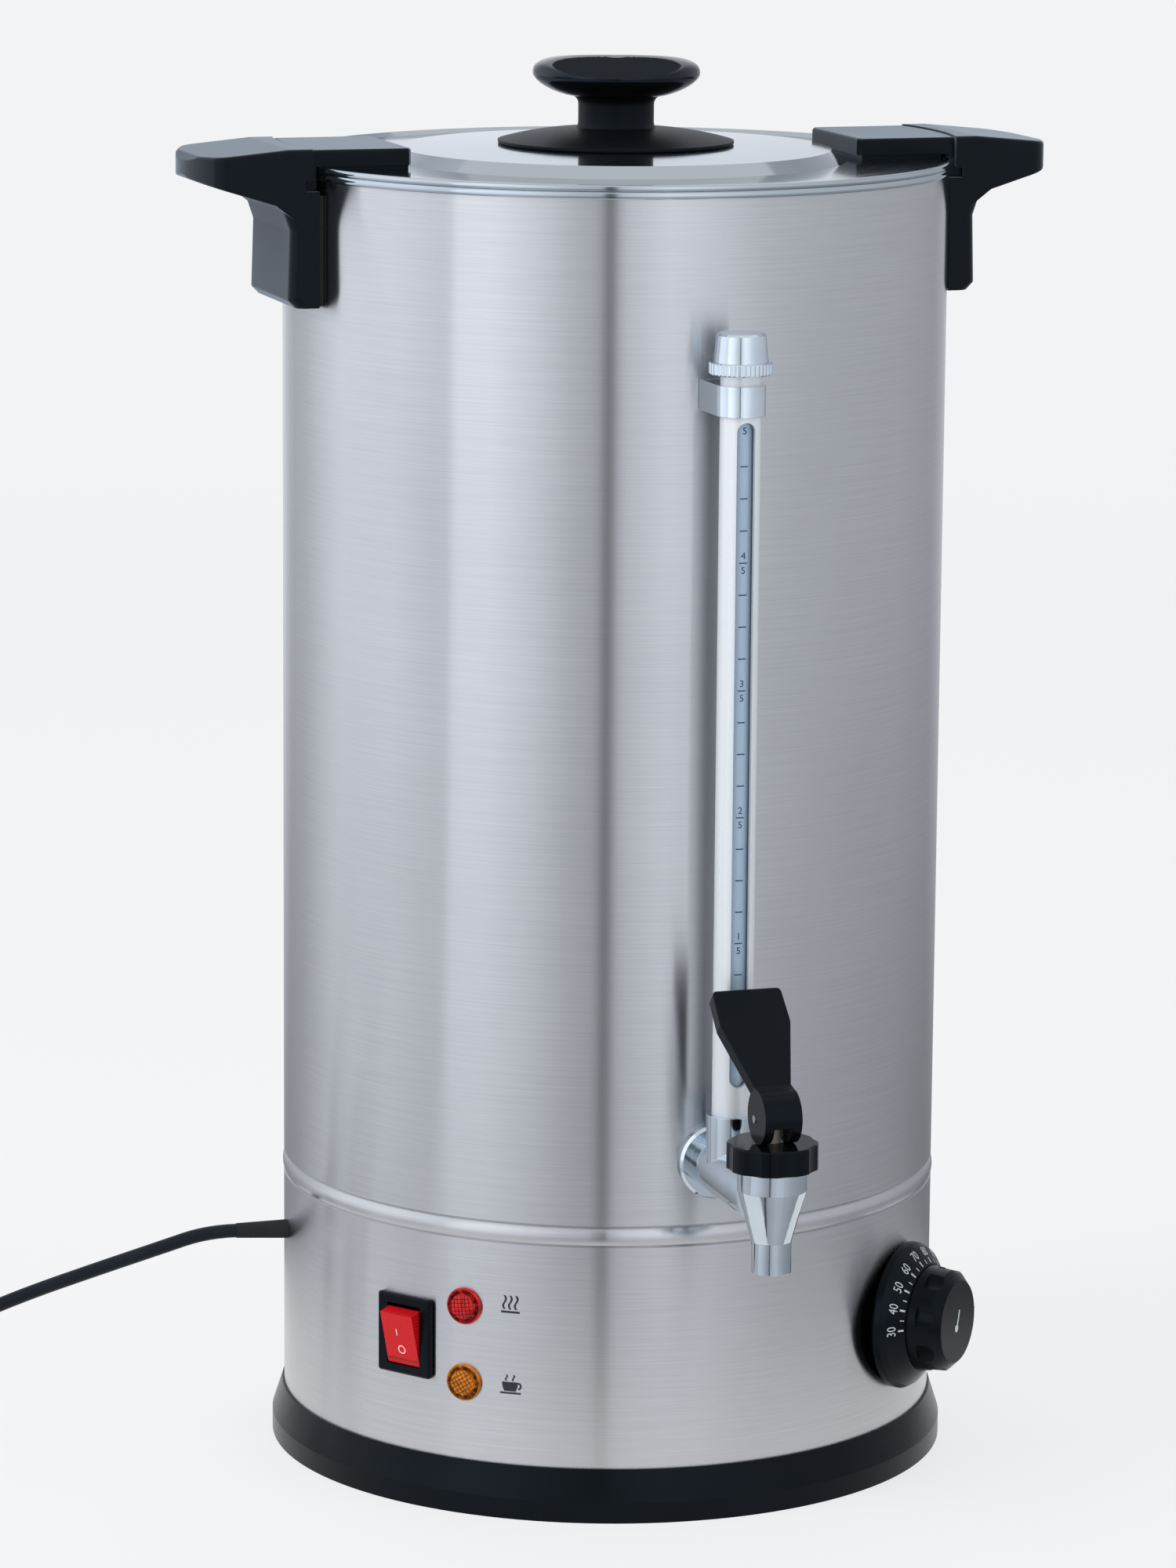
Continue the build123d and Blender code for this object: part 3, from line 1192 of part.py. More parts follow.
seat_floor = SEAT_Z - SEAT_LIP
cone_tilt = (HEAD_R - SPOUT_R) / (HEAD_BAND_Z - CONE_END_Z)
chamber_floor_r = SPOUT_R + (seat_floor - CONE_END_Z) * cone_tilt - 2.6
head_axis = Axis((0, SPOUT_Y, 0), (0, 0, 1))
with BuildPart() as tap_body:
    with BuildSketch(Plane.YZ):
        with BuildLine():
            Polyline(
                (SPOUT_Y, HEAD_TOP),
                (SPOUT_Y - HEAD_R, HEAD_TOP),
                (SPOUT_Y - HEAD_R, HEAD_BAND_Z),
                (SPOUT_Y - SPOUT_R, CONE_END_Z),
                (SPOUT_Y - SPOUT_R, SPOUT_END),
                (SPOUT_Y, SPOUT_END),
                close=True,
            )
        make_face()
    revolve(axis=head_axis)
    with BuildSketch(wall_plane(0, flange_face, TAP_Z)):
        Circle(TAP_BARREL_R)
    extrude(amount=spout_reach - flange_face - CHAMBER_R + 1)
    with BuildSketch(Plane(origin=(0, TUBE_Y, TAP_Z))):
        Circle(COLLAR_R)
    extrude(amount=COLLAR_TOP - TAP_Z)
    with BuildSketch(wall_plane(0, SHANK_IN, TAP_Z)):
        Circle(SHANK_R)
    extrude(amount=flange_face - SHANK_IN)
    with BuildSketch(Plane.YZ):
        with BuildLine():
            Polyline(
                (SPOUT_Y, HEAD_TOP),
                (SPOUT_Y - CHAMBER_R, HEAD_TOP),
                (SPOUT_Y - CHAMBER_R, HEAD_BAND_Z - 1),
                (SPOUT_Y - chamber_floor_r, seat_floor),
                (SPOUT_Y - SPOUT_BORE_R - 1, seat_floor),
                (SPOUT_Y - SPOUT_BORE_R - 0.6, SEAT_Z),
                (SPOUT_Y - SPOUT_BORE_R, SEAT_Z),
                (SPOUT_Y - SPOUT_BORE_R, SPOUT_END),
                (SPOUT_Y, SPOUT_END),
                close=True,
            )
        make_face()
    revolve(axis=head_axis, mode=Mode.SUBTRACT)
    with BuildSketch(wall_plane(0, SHANK_IN, TAP_Z)):
        Circle(TAP_BORE_R)
    extrude(amount=spout_reach - SHANK_IN - 4, mode=Mode.SUBTRACT)
    with BuildSketch(Plane(origin=(0, TUBE_Y, TAP_Z))):
        Circle(GAUGE_PORT_R)
    extrude(amount=COLLAR_TOP - TAP_Z, mode=Mode.SUBTRACT)
    with BuildSketch(gauge_base):
        Circle(TUBE_R + RUNNING)
    extrude(amount=10, mode=Mode.SUBTRACT)
save(tap_body.part, "tap_body")

nut_in = SHANK_IN + 1.5
tap_nut_h = 5.0
with BuildPart() as tap_nut:
    with BuildSketch(wall_plane(0, nut_in, TAP_Z)):
        RegularPolygon(12, 6, major_radius=False)
        Circle(SHANK_R, mode=Mode.SUBTRACT)
    extrude(amount=tap_nut_h)
save(tap_nut.part, "tap_nut")

# Silicone washers: one inside the tank, one spacer between the two walls, both cut to the curves.
with BuildPart() as tap_washers:
    with BuildSketch(wall_plane(0, nut_in + tap_nut_h, TAP_Z)):
        Circle(12)
        Circle(SHANK_R, mode=Mode.SUBTRACT)
    extrude(amount=BODY_R - nut_in - tap_nut_h)
    extrude(annulus(TANK_IN - RUNNING, TANK_R + RUNNING, TAP_Z - 30), amount=60, mode=Mode.SUBTRACT)
    extrude(annulus(SHELL_IN - RUNNING, BODY_R + 5, TAP_Z - 30), amount=60, mode=Mode.SUBTRACT)
save(tap_washers.part, "tap_washers")

# Bonnet: scalloped cap with a plug in the chamber and the stem's guide bore.
with BuildPart() as tap_bonnet:
    with BuildSketch(Plane(origin=(0, SPOUT_Y, HEAD_TOP))):
        Circle(BONNET_R)
        with PolarLocations(BONNET_R + 17.3, BONNET_SCALLOPS):
            Circle(18, mode=Mode.SUBTRACT)
    extrude(amount=BONNET_TOP - HEAD_TOP)
    chamfer(faces().sort_by(Axis.Z)[-1].edges(), 0.5)
    with BuildSketch(Plane(origin=(0, SPOUT_Y, BONNET_PLUG_Z))):
        Circle(CHAMBER_R - 0.2)
    extrude(amount=HEAD_TOP - BONNET_PLUG_Z)
    with BuildSketch(Plane(origin=(0, SPOUT_Y, BONNET_PLUG_Z))):
        Circle(STEM_R + RUNNING)
    extrude(amount=BONNET_TOP - BONNET_PLUG_Z, mode=Mode.SUBTRACT)
save(tap_bonnet.part, "tap_bonnet")

stem_foot = CUP_TOP - 2.4
with BuildPart() as valve_stem:
    with BuildSketch(Plane(origin=(0, SPOUT_Y, stem_foot))):
        Circle(STEM_R)
    extrude(amount=STEM_TOP - stem_foot)
    with BuildSketch(Plane(origin=(0, SPOUT_Y, CUP_TOP))):
        Circle(COLLAR_LAND_R)
    extrude(amount=COLLAR_LAND_T)
    with BuildSketch(Plane(origin=(0, SPOUT_Y, PIVOT_Z), z_dir=(1, 0, 0))):
        Circle(PIN_R)
    extrude(amount=10, both=True, mode=Mode.SUBTRACT)
save(valve_stem.part, "valve_stem")

with BuildPart() as seat_cup:
    with BuildSketch(Plane(origin=(0, SPOUT_Y, SEAT_Z + RUNNING))):
        Circle(CUP_R)
    extrude(amount=CUP_TOP - SEAT_Z - RUNNING)
    with BuildSketch(Plane(origin=(0, SPOUT_Y, stem_foot))):
        Circle(STEM_R)
    extrude(amount=5, mode=Mode.SUBTRACT)
save(seat_cup.part, "seat_cup")

spring_low = CUP_TOP + COLLAR_LAND_T + SPRING_WIRE
spring_high = BONNET_PLUG_Z - SPRING_WIRE
with BuildPart() as valve_spring:
    with BuildLine() as coil_line:
        Helix(
            pitch=(spring_high - spring_low) / SPRING_TURNS,
            height=spring_high - spring_low,
            radius=SPRING_R,
            center=(0, SPOUT_Y, spring_low),
        )
    with BuildSketch(Plane(origin=coil_line.line @ 0, z_dir=coil_line.line % 0)):
        Circle(SPRING_WIRE)
    sweep()
save(valve_spring.part, "valve_spring")

with BuildPart() as lever_pin:
    with BuildSketch(Plane(origin=(0, SPOUT_Y, PIVOT_Z), z_dir=(1, 0, 0))):
        Circle(PIN_R)
    extrude(amount=LEVER_W / 2 + 0.3, both=True)
save(lever_pin.part, "lever_pin")

# Lever: leaning paddle on a forked hub whose round cam lifts the pin as the paddle is pulled.
lean = radians(LEVER_LEAN)
along = Vector(0, cos(lean), sin(lean))
facing = Vector(0, -sin(lean), cos(lean))
pin_centre = Vector(0, SPOUT_Y, PIVOT_Z)
face_plane = Plane(origin=pin_centre, x_dir=(1, 0, 0), z_dir=facing)


def lever_point(forward, out):
    """Point of the lever's side view, from its run along the paddle and its height off the pin."""
    spot = pin_centre + along * forward + facing * out
    return spot.Y, spot.Z


def run_and_height(edge):
    """How far along the paddle an edge's middle is, and how high off the pin."""
    reach = edge.center() - pin_centre
    return reach.dot(along), reach.dot(facing)


with BuildPart() as tap_lever:
    with BuildSketch(Plane.YZ):
        with Locations((CAM_Y, CAM_Z)):
            Circle(CAM_R)
        with BuildLine():
            Polyline(
                lever_point(0, LEVER_FACE - LEVER_T),
                lever_point(LEVER_L - 2, LEVER_FACE - LEVER_T - 0.6),
                lever_point(LEVER_L, LEVER_FACE - LEVER_T + 1),
                lever_point(LEVER_L, LEVER_FACE - 0.8),
                lever_point(LEVER_L - 0.8, LEVER_FACE),
                lever_point(LEVER_WAIST_AT, LEVER_FACE),
                lever_point(2, CAM_R + CAM_E * 0.8),
                lever_point(0, CAM_R - 1),
                close=True,
            )
        make_face()
    extrude(amount=LEVER_WIDE_W / 2, both=True)
    with BuildSketch(face_plane.offset(-20)) as outline:
        with BuildLine():
            Polyline(
                (-LEVER_TOP_W / 2, LEVER_L),
                (LEVER_TOP_W / 2, LEVER_L),
                (LEVER_WIDE_W / 2, LEVER_WIDE_AT),
                (LEVER_W / 2, LEVER_WAIST_AT),
                (LEVER_W / 2, -20),
                (-LEVER_W / 2, -20),
                (-LEVER_W / 2, LEVER_WAIST_AT),
                (-LEVER_WIDE_W / 2, LEVER_WIDE_AT),
                close=True,
            )
        make_face()
        fillet(outline.vertices().sort_by(Axis((0, 0, 0), along))[-2:], 2.5)
    extrude(amount=40, mode=Mode.INTERSECT)
    with BuildSketch(Plane.YZ):
        with Locations((SPOUT_Y, PIVOT_Z)):
            Circle(CAM_R - 2.6)
        with BuildLine():
            Polyline(
                (SPOUT_Y - 2 * CAM_R, PIVOT_Z - LEVER_BRIDGE),
                (SPOUT_Y - 2 * CAM_R, PIVOT_Z - 2 * CAM_R),
                (SPOUT_Y + 2 * CAM_R, PIVOT_Z - 2 * CAM_R),
                (SPOUT_Y + 2 * CAM_R, PIVOT_Z + 2),
                (SPOUT_Y, PIVOT_Z + 2),
                (SPOUT_Y, PIVOT_Z - LEVER_BRIDGE),
                close=True,
            )
        make_face()
    extrude(amount=LEVER_SLOT_W / 2, both=True, mode=Mode.SUBTRACT)
    with BuildSketch(Plane(origin=pin_centre, z_dir=(1, 0, 0))):
        Circle(PIN_R + RUNNING)
    extrude(amount=LEVER_W, both=True, mode=Mode.SUBTRACT)
    face_sides = []
    for edge in tap_lever.edges():
        run, height = run_and_height(edge)
        beside = abs(edge.center().X) > 5 and LEVER_WAIST_AT + 1 < run < LEVER_L - 1.5
        if beside and height > LEVER_FACE - RUNNING:
            face_sides.append(edge)
    fillet(face_sides, LEVER_ROUND)
    face_end = []
    for edge in tap_lever.edges():
        run, height = run_and_height(edge)
        if height > LEVER_FACE - 0.9 and run > LEVER_L - 2:
            face_end.append(edge)
    fillet(face_end, LEVER_ROUND - 0.1)
    back_rim = []
    for edge in tap_lever.edges():
        run, height = run_and_height(edge)
        if 1 < height < LEVER_FACE - LEVER_T + 0.5 and run > CAM_R + 3:
            back_rim.append(edge)
    fillet(back_rim, LEVER_ROUND)
save(tap_lever.part, "tap_lever")

# ---------------------------------------------------------------- mains lead
gland_plane = wall_plane(CORD_ANGLE, BODY_R, CORD_Z)
gland_end = BODY_R + GLAND_OUT
cord_out = gland_plane.z_dir
cord_side = Vector(-cord_out.Y, cord_out.X, 0) * -1
with BuildPart() as cord_gland:
    with BuildSketch(wall_plane(CORD_ANGLE, BODY_R - 14, CORD_Z)):
        Circle(GLAND_R)
    extrude(amount=14)
    with BuildSketch(wall_plane(CORD_ANGLE, BODY_R, CORD_Z)):
        Circle(GLAND_R)
    extrude(amount=GLAND_OUT, taper=degrees(atan2(GLAND_R - GLAND_TIP_R, GLAND_OUT)))
    with BuildSketch(wall_plane(CORD_ANGLE, SHELL_IN - 3, CORD_Z)):
        RegularPolygon(7, 6, major_radius=False)
    extrude(amount=2.4)
save(cord_gland.part, "cord_gland")


def lead_point(reach, side, height):
    """Point of the lead from its distance out of the axis, its drift sideways and its height."""
    spot = cord_out * reach + cord_side * side
    return Vector(spot.X, spot.Y, height)


coil_low = TIE_T
lead_floor = coil_low + CORD_R
coil_reach = gland_end + COIL_OUT
coil_turn_r = COIL_R + COIL_HALF_W - CORD_R
lead_route = [lead_point(gland_end, 0, CORD_Z), lead_point(gland_end + LEAD_LEVEL, 0, CORD_Z)]
lead_route += [lead_point(gland_end + past, aside, height) for past, aside, height in LEAD_POINTS]
lead_route.append(lead_point(gland_end + LEAD_DOWN, 0, lead_floor))
lead_route.append(lead_point(coil_reach - LEAD_STRAIGHT, 0, lead_floor))
coil_centre = cord_out * coil_reach + cord_side * coil_turn_r


def bend_radii(route):
    """Largest arc that each inner point's two runs allow: 0.45 of the shorter run over tan of half the turn."""
    radii = []
    for before, at, after in zip(route, route[1:], route[2:]):
        first, second = at - before, after - at
        turn = radians(first.get_angle(second))
        radii.append(0.45 * min(first.length, second.length) / tan(turn / 2))
    return radii


tail_start = coil_centre + cord_out * coil_turn_r
coil_top = lead_floor + 2 * CORD_R
tail_heights = (coil_top, coil_top + 1, PLUG_R, PLUG_R)
tail_route = [
    Vector(tail_start.X, tail_start.Y, height) + cord_side * past + cord_out * drift
    for (past, drift), height in zip(TAIL_POINTS, tail_heights)
]
plug_tail_r = CORD_R + 0.7
lead_total = 0.0
with BuildPart() as power_cord:
    for name, route in (("lead", lead_route), ("tail", tail_route)):
        radii = bend_radii(route)
        print(name, "bend radii", [round(r, 1) for r in radii])
        with BuildLine() as lead_line:
            FilletPolyline(*route, radius=radii)
        lead_wire = lead_line.wires()[0]
        with BuildSketch(Plane(origin=lead_wire @ 0, z_dir=lead_wire % 0)):
            Circle(CORD_R)
        sweep(path=lead_wire)
        print(name, "length", round(lead_wire.length, 1))
        lead_total += lead_wire.length
print("cord volume", round(power_cord.part.volume, 1), "of", round(pi * CORD_R**2 * lead_total, 1))
save(power_cord.part, "power_cord")

coil_section = Plane(
    origin=(coil_centre.X, coil_centre.Y, coil_low + COIL_H / 2), x_dir=cord_side, z_dir=cord_out
)
coil_axis = Axis((coil_centre.X, coil_centre.Y, 0), (0, 0, 1))
with BuildPart() as cord_coil:
    with BuildSketch(coil_section):
        with Locations((COIL_R, 0)):
            RectangleRounded(2 * COIL_HALF_W, COIL_H, CORD_R - 0.05)
    revolve(axis=coil_axis)
print("coil turns length", round(2 * pi * COIL_R * (COIL_ROWS * COIL_LAYERS - 0.75), 1))
save(cord_coil.part, "cord_coil")

with BuildPart() as coil_tie:
    with BuildSketch(coil_section):
        with Locations((COIL_R, 0)):
            RectangleRounded(2 * (COIL_HALF_W + TIE_T), COIL_H + 2 * TIE_T, CORD_R)
            RectangleRounded(2 * COIL_HALF_W, COIL_H, CORD_R - 0.05, mode=Mode.SUBTRACT)
    revolve(axis=coil_axis, revolution_arc=TIE_ARC)
save(coil_tie.part, "coil_tie")

plug_foot = tail_route[-1]
plug_plane = Plane(origin=plug_foot, x_dir=(0, 0, 1), z_dir=cord_side)
pins_plane = plug_plane.offset(PLUG_RELIEF_L + PLUG_L)
with BuildPart() as plug_body:
    with BuildSketch(plug_plane):
        Circle(plug_tail_r)
    extrude(amount=PLUG_RELIEF_L, taper=-degrees(atan2(3.2, PLUG_RELIEF_L)))
    with BuildSketch(plug_plane.offset(PLUG_RELIEF_L)):
        Circle(PLUG_R - 5)
    extrude(amount=8, taper=-degrees(atan2(5, 8)))
    with BuildSketch(plug_plane.offset(PLUG_RELIEF_L + 8)):
        Circle(PLUG_R)
    extrude(amount=PLUG_L - 8)
save(plug_body.part, "plug_body")

with BuildPart() as plug_pins:
    with BuildSketch(pins_plane):
        with Locations((0, -PLUG_PIN_SPACING / 2), (0, PLUG_PIN_SPACING / 2)):
            Circle(PLUG_PIN_R)
    extrude(amount=PLUG_PIN_L)
save(plug_pins.part, "plug_pins")
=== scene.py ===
from math import ceil, cos, pi, radians, sin

import bmesh
import bpy
from bpy.props import FloatProperty, FloatVectorProperty, IntProperty, PointerProperty
from mathutils import Matrix, Vector
from mathutils.bvhtree import BVHTree


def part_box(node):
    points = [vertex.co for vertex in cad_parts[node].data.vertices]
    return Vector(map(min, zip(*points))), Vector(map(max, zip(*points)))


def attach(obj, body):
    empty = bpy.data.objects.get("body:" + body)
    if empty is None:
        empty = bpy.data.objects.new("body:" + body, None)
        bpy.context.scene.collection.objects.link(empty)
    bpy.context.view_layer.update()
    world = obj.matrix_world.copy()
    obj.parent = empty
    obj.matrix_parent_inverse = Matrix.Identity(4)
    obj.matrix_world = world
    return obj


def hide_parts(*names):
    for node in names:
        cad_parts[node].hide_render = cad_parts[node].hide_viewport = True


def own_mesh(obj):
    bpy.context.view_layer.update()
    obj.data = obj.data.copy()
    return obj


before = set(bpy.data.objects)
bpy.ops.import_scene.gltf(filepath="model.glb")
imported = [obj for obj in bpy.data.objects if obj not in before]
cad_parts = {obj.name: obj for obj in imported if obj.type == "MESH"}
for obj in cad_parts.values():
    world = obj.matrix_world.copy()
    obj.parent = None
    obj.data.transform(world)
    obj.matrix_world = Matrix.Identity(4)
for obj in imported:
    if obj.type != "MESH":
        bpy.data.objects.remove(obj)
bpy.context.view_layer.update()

bl_info = {
    "name": "Hot water urn",
    "version": (1, 0, 0),
    "blender": (4, 5, 0),
    "location": "3D View > Sidebar > Urn",
    "description": "Finishes and dresses a steel hot water urn with a lever tap, and lights it",
    "category": "Object",
}

MM = 0.001

# ---------------------------------------------------------------- sizes in millimetres and degrees

BODY_R = 127.5

# mains lead
CORD_R = 2.7
CORD_AZIMUTH = -97.5
# (reach from the axis, sideways, height) of the lead on its way from the gland to the coil
LEAD = ((147.5, 0, 84.8), (159, 0, 84.8), (177, 0.7, 79.0), (202, 0.6, 71.4), (231, -0.6, 62.6),
        (257, -1.2, 52.6), (279, -1.0, 38.6), (297, 0.2, 21.6), (319, 0.6, 8.6), (340, 0, 3.5),
        (359, 0, 3.5))
COIL_CENTRE = (372.0, 36.4)
# (radius, height) of the coil's six rows, from the outside in and out again on top
COIL_ROWS = ((36.4, 3.5), (31.0, 3.5), (25.6, 3.5), (25.6, 8.9), (31.0, 8.9), (36.4, 8.9))
COIL_TURNS = 5.25
TURN_STEPS = 16         # control points in each turn
ROW_CHANGE = (0.55, 0.35)       # part of a turn before the lead leaves its row, and part that it takes
# (sideways past the coil, outwards, height) of the tail that ends in the plug
TAIL = ((8, 0, 8.9), (28, 0.8, 9.9), (50, 0.4, 18.5), (70, 0.4, 18.5))

# gauge
GAUGE_REACH = 147.5
GAUGE_BOTTOM = 180.0    # no tick stands lower
TICK = (2.9, 0.42)
DIGIT_H = 2.5
FRACTION_GAP = 2.7      # middle of a digit above or below its line

# dial
DIAL_AZIMUTH = 45.0
DIAL_HEIGHT = 62.0
DIAL_DIGITS_R = 25.4
DIAL_DIGIT_H = 2.9
DIAL_TICK_R = (21.4, 23.2)
DIAL_TICK_W = (0.75, 0.4)       # width of a long and of a short tick
DIAL_SHORT = 0.75       # length of a short tick against a long one
DIAL_TURN_PER_DEGREE = 2.0
DIAL_FIRST_ANGLE = 180.0
# thermometer on the knob: (x, y, inner, outer radius) of its ends, (x, y, width, height) of its stem
BULB = (0, -2.6, 0.0, 1.5)
STEM = (0, 1.2, 1.1, 6.0)
TIP = (0, 4.2, 0.0, 0.55)
THERMOMETER_TILT = -20

# lid's knob
KNOB_R = 45.2
KNOB_HEAD_R = 32.0
KNOB_HEAD_RISE = 7.0     # height of the head above its widest line
KNOB_UNDERCUT = (8.2, 18.0)     # depth of the head below that line, reach where it meets the neck's fillet
KNOB_NECK_R = 14.5
KNOB_FILLET = 3.5
KNOB_FLANGE = (1.4, 5.0)        # thickness of the flange at its rim, and its rise from there to the neck
KNOB_RIM_CUT = 0.5              # bevel under the flange's rim
KNOB_DOME_END = 0.8             # the flange's dome ends this far from the neck
KNOB_HOLE = (3.0, 18.0)         # radius and depth of the screw's hole
KNOB_FACET_AZIMUTH = -18.0      # way the front facet faces
KNOB_FACET_START = 2.5          # a facet starts this far from the knob's middle
KNOB_FACET_RIM = 0.2            # and ends this high above the head's widest line
KNOB_FACET_SOFT = 1             # half the height over which its edge is blended
KNOB_FACET_MATT = 0.3           # what is pressed by more than this is matt
KNOB_CROWN_DIP = 0.5            # crown of the solid stands this far above the middle of the head
KNOB_STEPS = 192
# Exponents that shape the curves: a full dome, a hollow underside and a rounded, flat-topped crown.
KNOB_DOME_POWER = 2.6
KNOB_UNDER_POWERS = (1.5, 1.2)
KNOB_CROWN_POWER = 0.667

# switch and lamps
SWITCH_AZIMUTH = -54.6
SWITCH_HEIGHT = 65.0
ROCKER_W = 15.0
# The rocker's notches are drawn as flat dark bars: painted shade, not cut notches.
GRIP_NOTCHES = 12
GRIP_NOTCH = (0.55, 0.9)
ON_MARK = (-1.0, 1.6, 0.42, 2.6)        # place, width and height
OFF_MARK = (0.2, -5.4, 1.3, 1.75)       # place and radii
PRISM_HALF = 0.45       # half the width of a prism under the rocker's face
PRISM_LINE = 0.2        # width of the dark line between two prisms
GRIP_Y = -9.7           # painted shade of the notches at the rocker's lower edge, below its middle
LAMP_AZIMUTH = -42.9
LAMP_HEIGHTS = {"red": 80.1, "amber": 50.3}
LENS_TURNS = {"red": 8, "amber": 33}     # degrees that each lens sits turned in its rim
LENS_R = 5.0
LENS_EDGE = 0.4         # corners this near the rim are moved onto it
LENS_CROWN = (1.3, 0.6)         # height of the lens's middle, and its fall to the rim
LENS_GROOVE = 0.2       # half the width of the groove between two pyramids
LENS_CUT = (0.3, 0.16)  # width of a pyramid's slopes, and its height
# A thin ring of painted shade round each lens: outer radius, thickness and gap to the lens.
RING_R = 6.5
RING_T = 0.25
RING_GAP = 0.05
LENS_FOOT = 1.5         # lens stands on the lamp's rim, this far above the shell

# signs beside the lamps
SIGN_AZIMUTH = -34.6
SIGN_H = 6.4
SIGN_RAISE = {"red": 2.6, "amber": 1.0}         # middle of each sign above its lamp's
HEAT_SPACING = 2.3
HEAT_WAVE = (0.5, 0.8, SIGN_H - 1, 0.55)        # y, width, height and sway
HEAT_LINE = (0, -SIGN_H / 2, 7.4, 0.8)
CUP_BOWL = (-0.9, 6.2, 3.6)     # y, width and height
CUP_TAPER = 0.28        # share of its width that the bowl loses to its foot
CUP_HANDLE = (3.2, -0.6, 0.75, 1.45)
SAUCER = (0.2, -SIGN_H / 2 - 0.2, 8.2, 0.7)
STEAM_ASIDE = 1.4
STEAM_WAVE = (2.5, 0.65, 2.4, 0.35)

PRINT_LIFT = 0.03
PRINT_T = 0.05
PRINT_FROM = 40         # marks are pressed on from this far outside
RING_STEPS = 28         # steps of a whole ring

# ---------------------------------------------------------------- small helpers


def linear(hex_code):
    """The linear colour of an sRGB hex code, with full alpha."""
    parts = [int(hex_code[i:i + 2], 16) / 255 for i in (0, 2, 4)]
    parts = [c / 12.92 if c <= 0.04045 else ((c + 0.055) / 1.055) ** 2.4 for c in parts]
    return (*parts, 1.0)


def shades(colour, *shares):
    """Tones of one linear colour, each a share of it, with full alpha."""
    return [(*(part * share for part in colour), 1) for share in shares]


def add_node(tree, kind, inputs=None, **settings):
    """Adds a node, sets its own settings, and fills or links its sockets."""
    node = tree.nodes.new(kind)
    for name, value in settings.items():
        setattr(node, name, value)
    for socket, value in (inputs or {}).items():
        if isinstance(value, bpy.types.NodeSocket):
            tree.links.new(value, node.inputs[socket])
        else:
            node.inputs[socket].default_value = value
    return node


def new_material(name, colour, **sockets):
    """A material with one Principled shader, its plain values set on the shader's own sockets."""
    material = bpy.data.materials.new(name)
    material.use_nodes = True
    tree = material.node_tree
    tree.nodes.clear()
    named = {socket.replace("_", " "): value for socket, value in sockets.items()}
    shader = add_node(tree, "ShaderNodeBsdfPrincipled", {"Base Color": colour, **named})
    add_node(tree, "ShaderNodeOutputMaterial", {"Surface": shader.outputs[0]})
    return material, tree, shader


def dress(material, *nodes):
    """Gives CAD nodes a finish."""
    for name in nodes:
        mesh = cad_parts[name].data
        mesh.materials.clear()
        mesh.materials.append(material)


def wall(azimuth, height, reach=BODY_R):
    """Axes in millimetres that face straight out of the barrel: x to the right, y up, z outwards."""
    a = radians(azimuth)
    out = Vector((sin(a), -cos(a), 0))
    return Matrix.Translation(out * reach + Vector((0, 0, height))) @ Matrix(
        ((cos(a), sin(a), 0), (0, 0, 1), out)).transposed().to_4x4()


def lathe(outline, steps):
    """A bmesh spun round the vertical axis from an outline of (reach, height)."""
    shell = bmesh.new()
    line = [shell.verts.new((reach, 0, height)) for reach, height in outline]
    edges = [shell.edges.new(pair) for pair in zip(line, line[1:])]
    bmesh.ops.spin(shell, geom=line + edges, cent=(0, 0, 0), axis=(0, 0, 1), angle=2 * pi, steps=steps,
                   use_merge=True)
    return shell


def as_object(shell, name, *materials):
    """Turns a bmesh in metres into an object at the origin."""
    mesh = bpy.data.meshes.new(name)
    shell.to_mesh(mesh)
    shell.free()
    for material in materials:
        mesh.materials.append(material)
    made = bpy.data.objects.new(name, mesh)
    bpy.context.scene.collection.objects.link(made)
    return made


def make_piece(shell, name, body, slot, *materials, smooth=40):
    """Turns a bmesh in millimetres into a piece that rides on a body."""
    bmesh.ops.scale(shell, vec=(MM, MM, MM), verts=shell.verts)
    bmesh.ops.recalc_face_normals(shell, faces=shell.faces)
    for face in shell.faces:
        face.smooth = True
    for edge in shell.edges:
        edge.smooth = edge.calc_face_angle(pi) < radians(smooth)
    piece = as_object(shell, name, *materials)
    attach(piece, body)
    return piece


# ---------------------------------------------------------------- printed marks


def add_bar(sheet, x, y, width, height, turn=0.0, cells=(1, 1)):
    """A flat bar about a point, cut into cells."""
    return bmesh.ops.create_grid(sheet, x_segments=cells[0], y_segments=cells[1], size=0.5, matrix=(
        Matrix.Translation((x, y, 0)) @ Matrix.Rotation(turn, 4, "Z")
        @ Matrix.Diagonal((width, height, 1, 1))))["verts"]


def add_ring(sheet, x, y, inner, outer, start=0.0, sweep=2 * pi):
    """A flat ring or a part of one, about a point."""
    ends = [sheet.verts.new((x + r * cos(start), y + r * sin(start), 0)) for r in (inner, outer)]
    bmesh.ops.spin(sheet, geom=ends + [sheet.edges.new(ends)], cent=(x, y, 0), axis=(0, 0, 1), angle=sweep,
                   steps=max(6, ceil(RING_STEPS * sweep / (2 * pi))), use_merge=sweep >= 2 * pi)


def add_words(sheet, text, x, y, height, turn=0.0):
    """Plain lettering of a given height, centred on a point."""
    curve = bpy.data.curves.new("words", "FONT")
    curve.body = text
    curve.resolution_u = 4
    holder = bpy.data.objects.new("words", curve)
    mesh = bpy.data.meshes.new_from_object(holder)
    bpy.data.objects.remove(holder)
    bpy.data.curves.remove(curve)
    xs = [v.co.x for v in mesh.vertices]
    ys = [v.co.y for v in mesh.vertices]
    middle = Vector((min(xs) + max(xs), min(ys) + max(ys), 0)) / 2
    mesh.transform(Matrix.Translation((x, y, 0)) @ Matrix.Rotation(turn, 4, "Z")
                   @ Matrix.Scale(height / (max(ys) - min(ys)), 4) @ Matrix.Translation(-middle))
    sheet.from_mesh(mesh)
    bpy.data.meshes.remove(mesh)


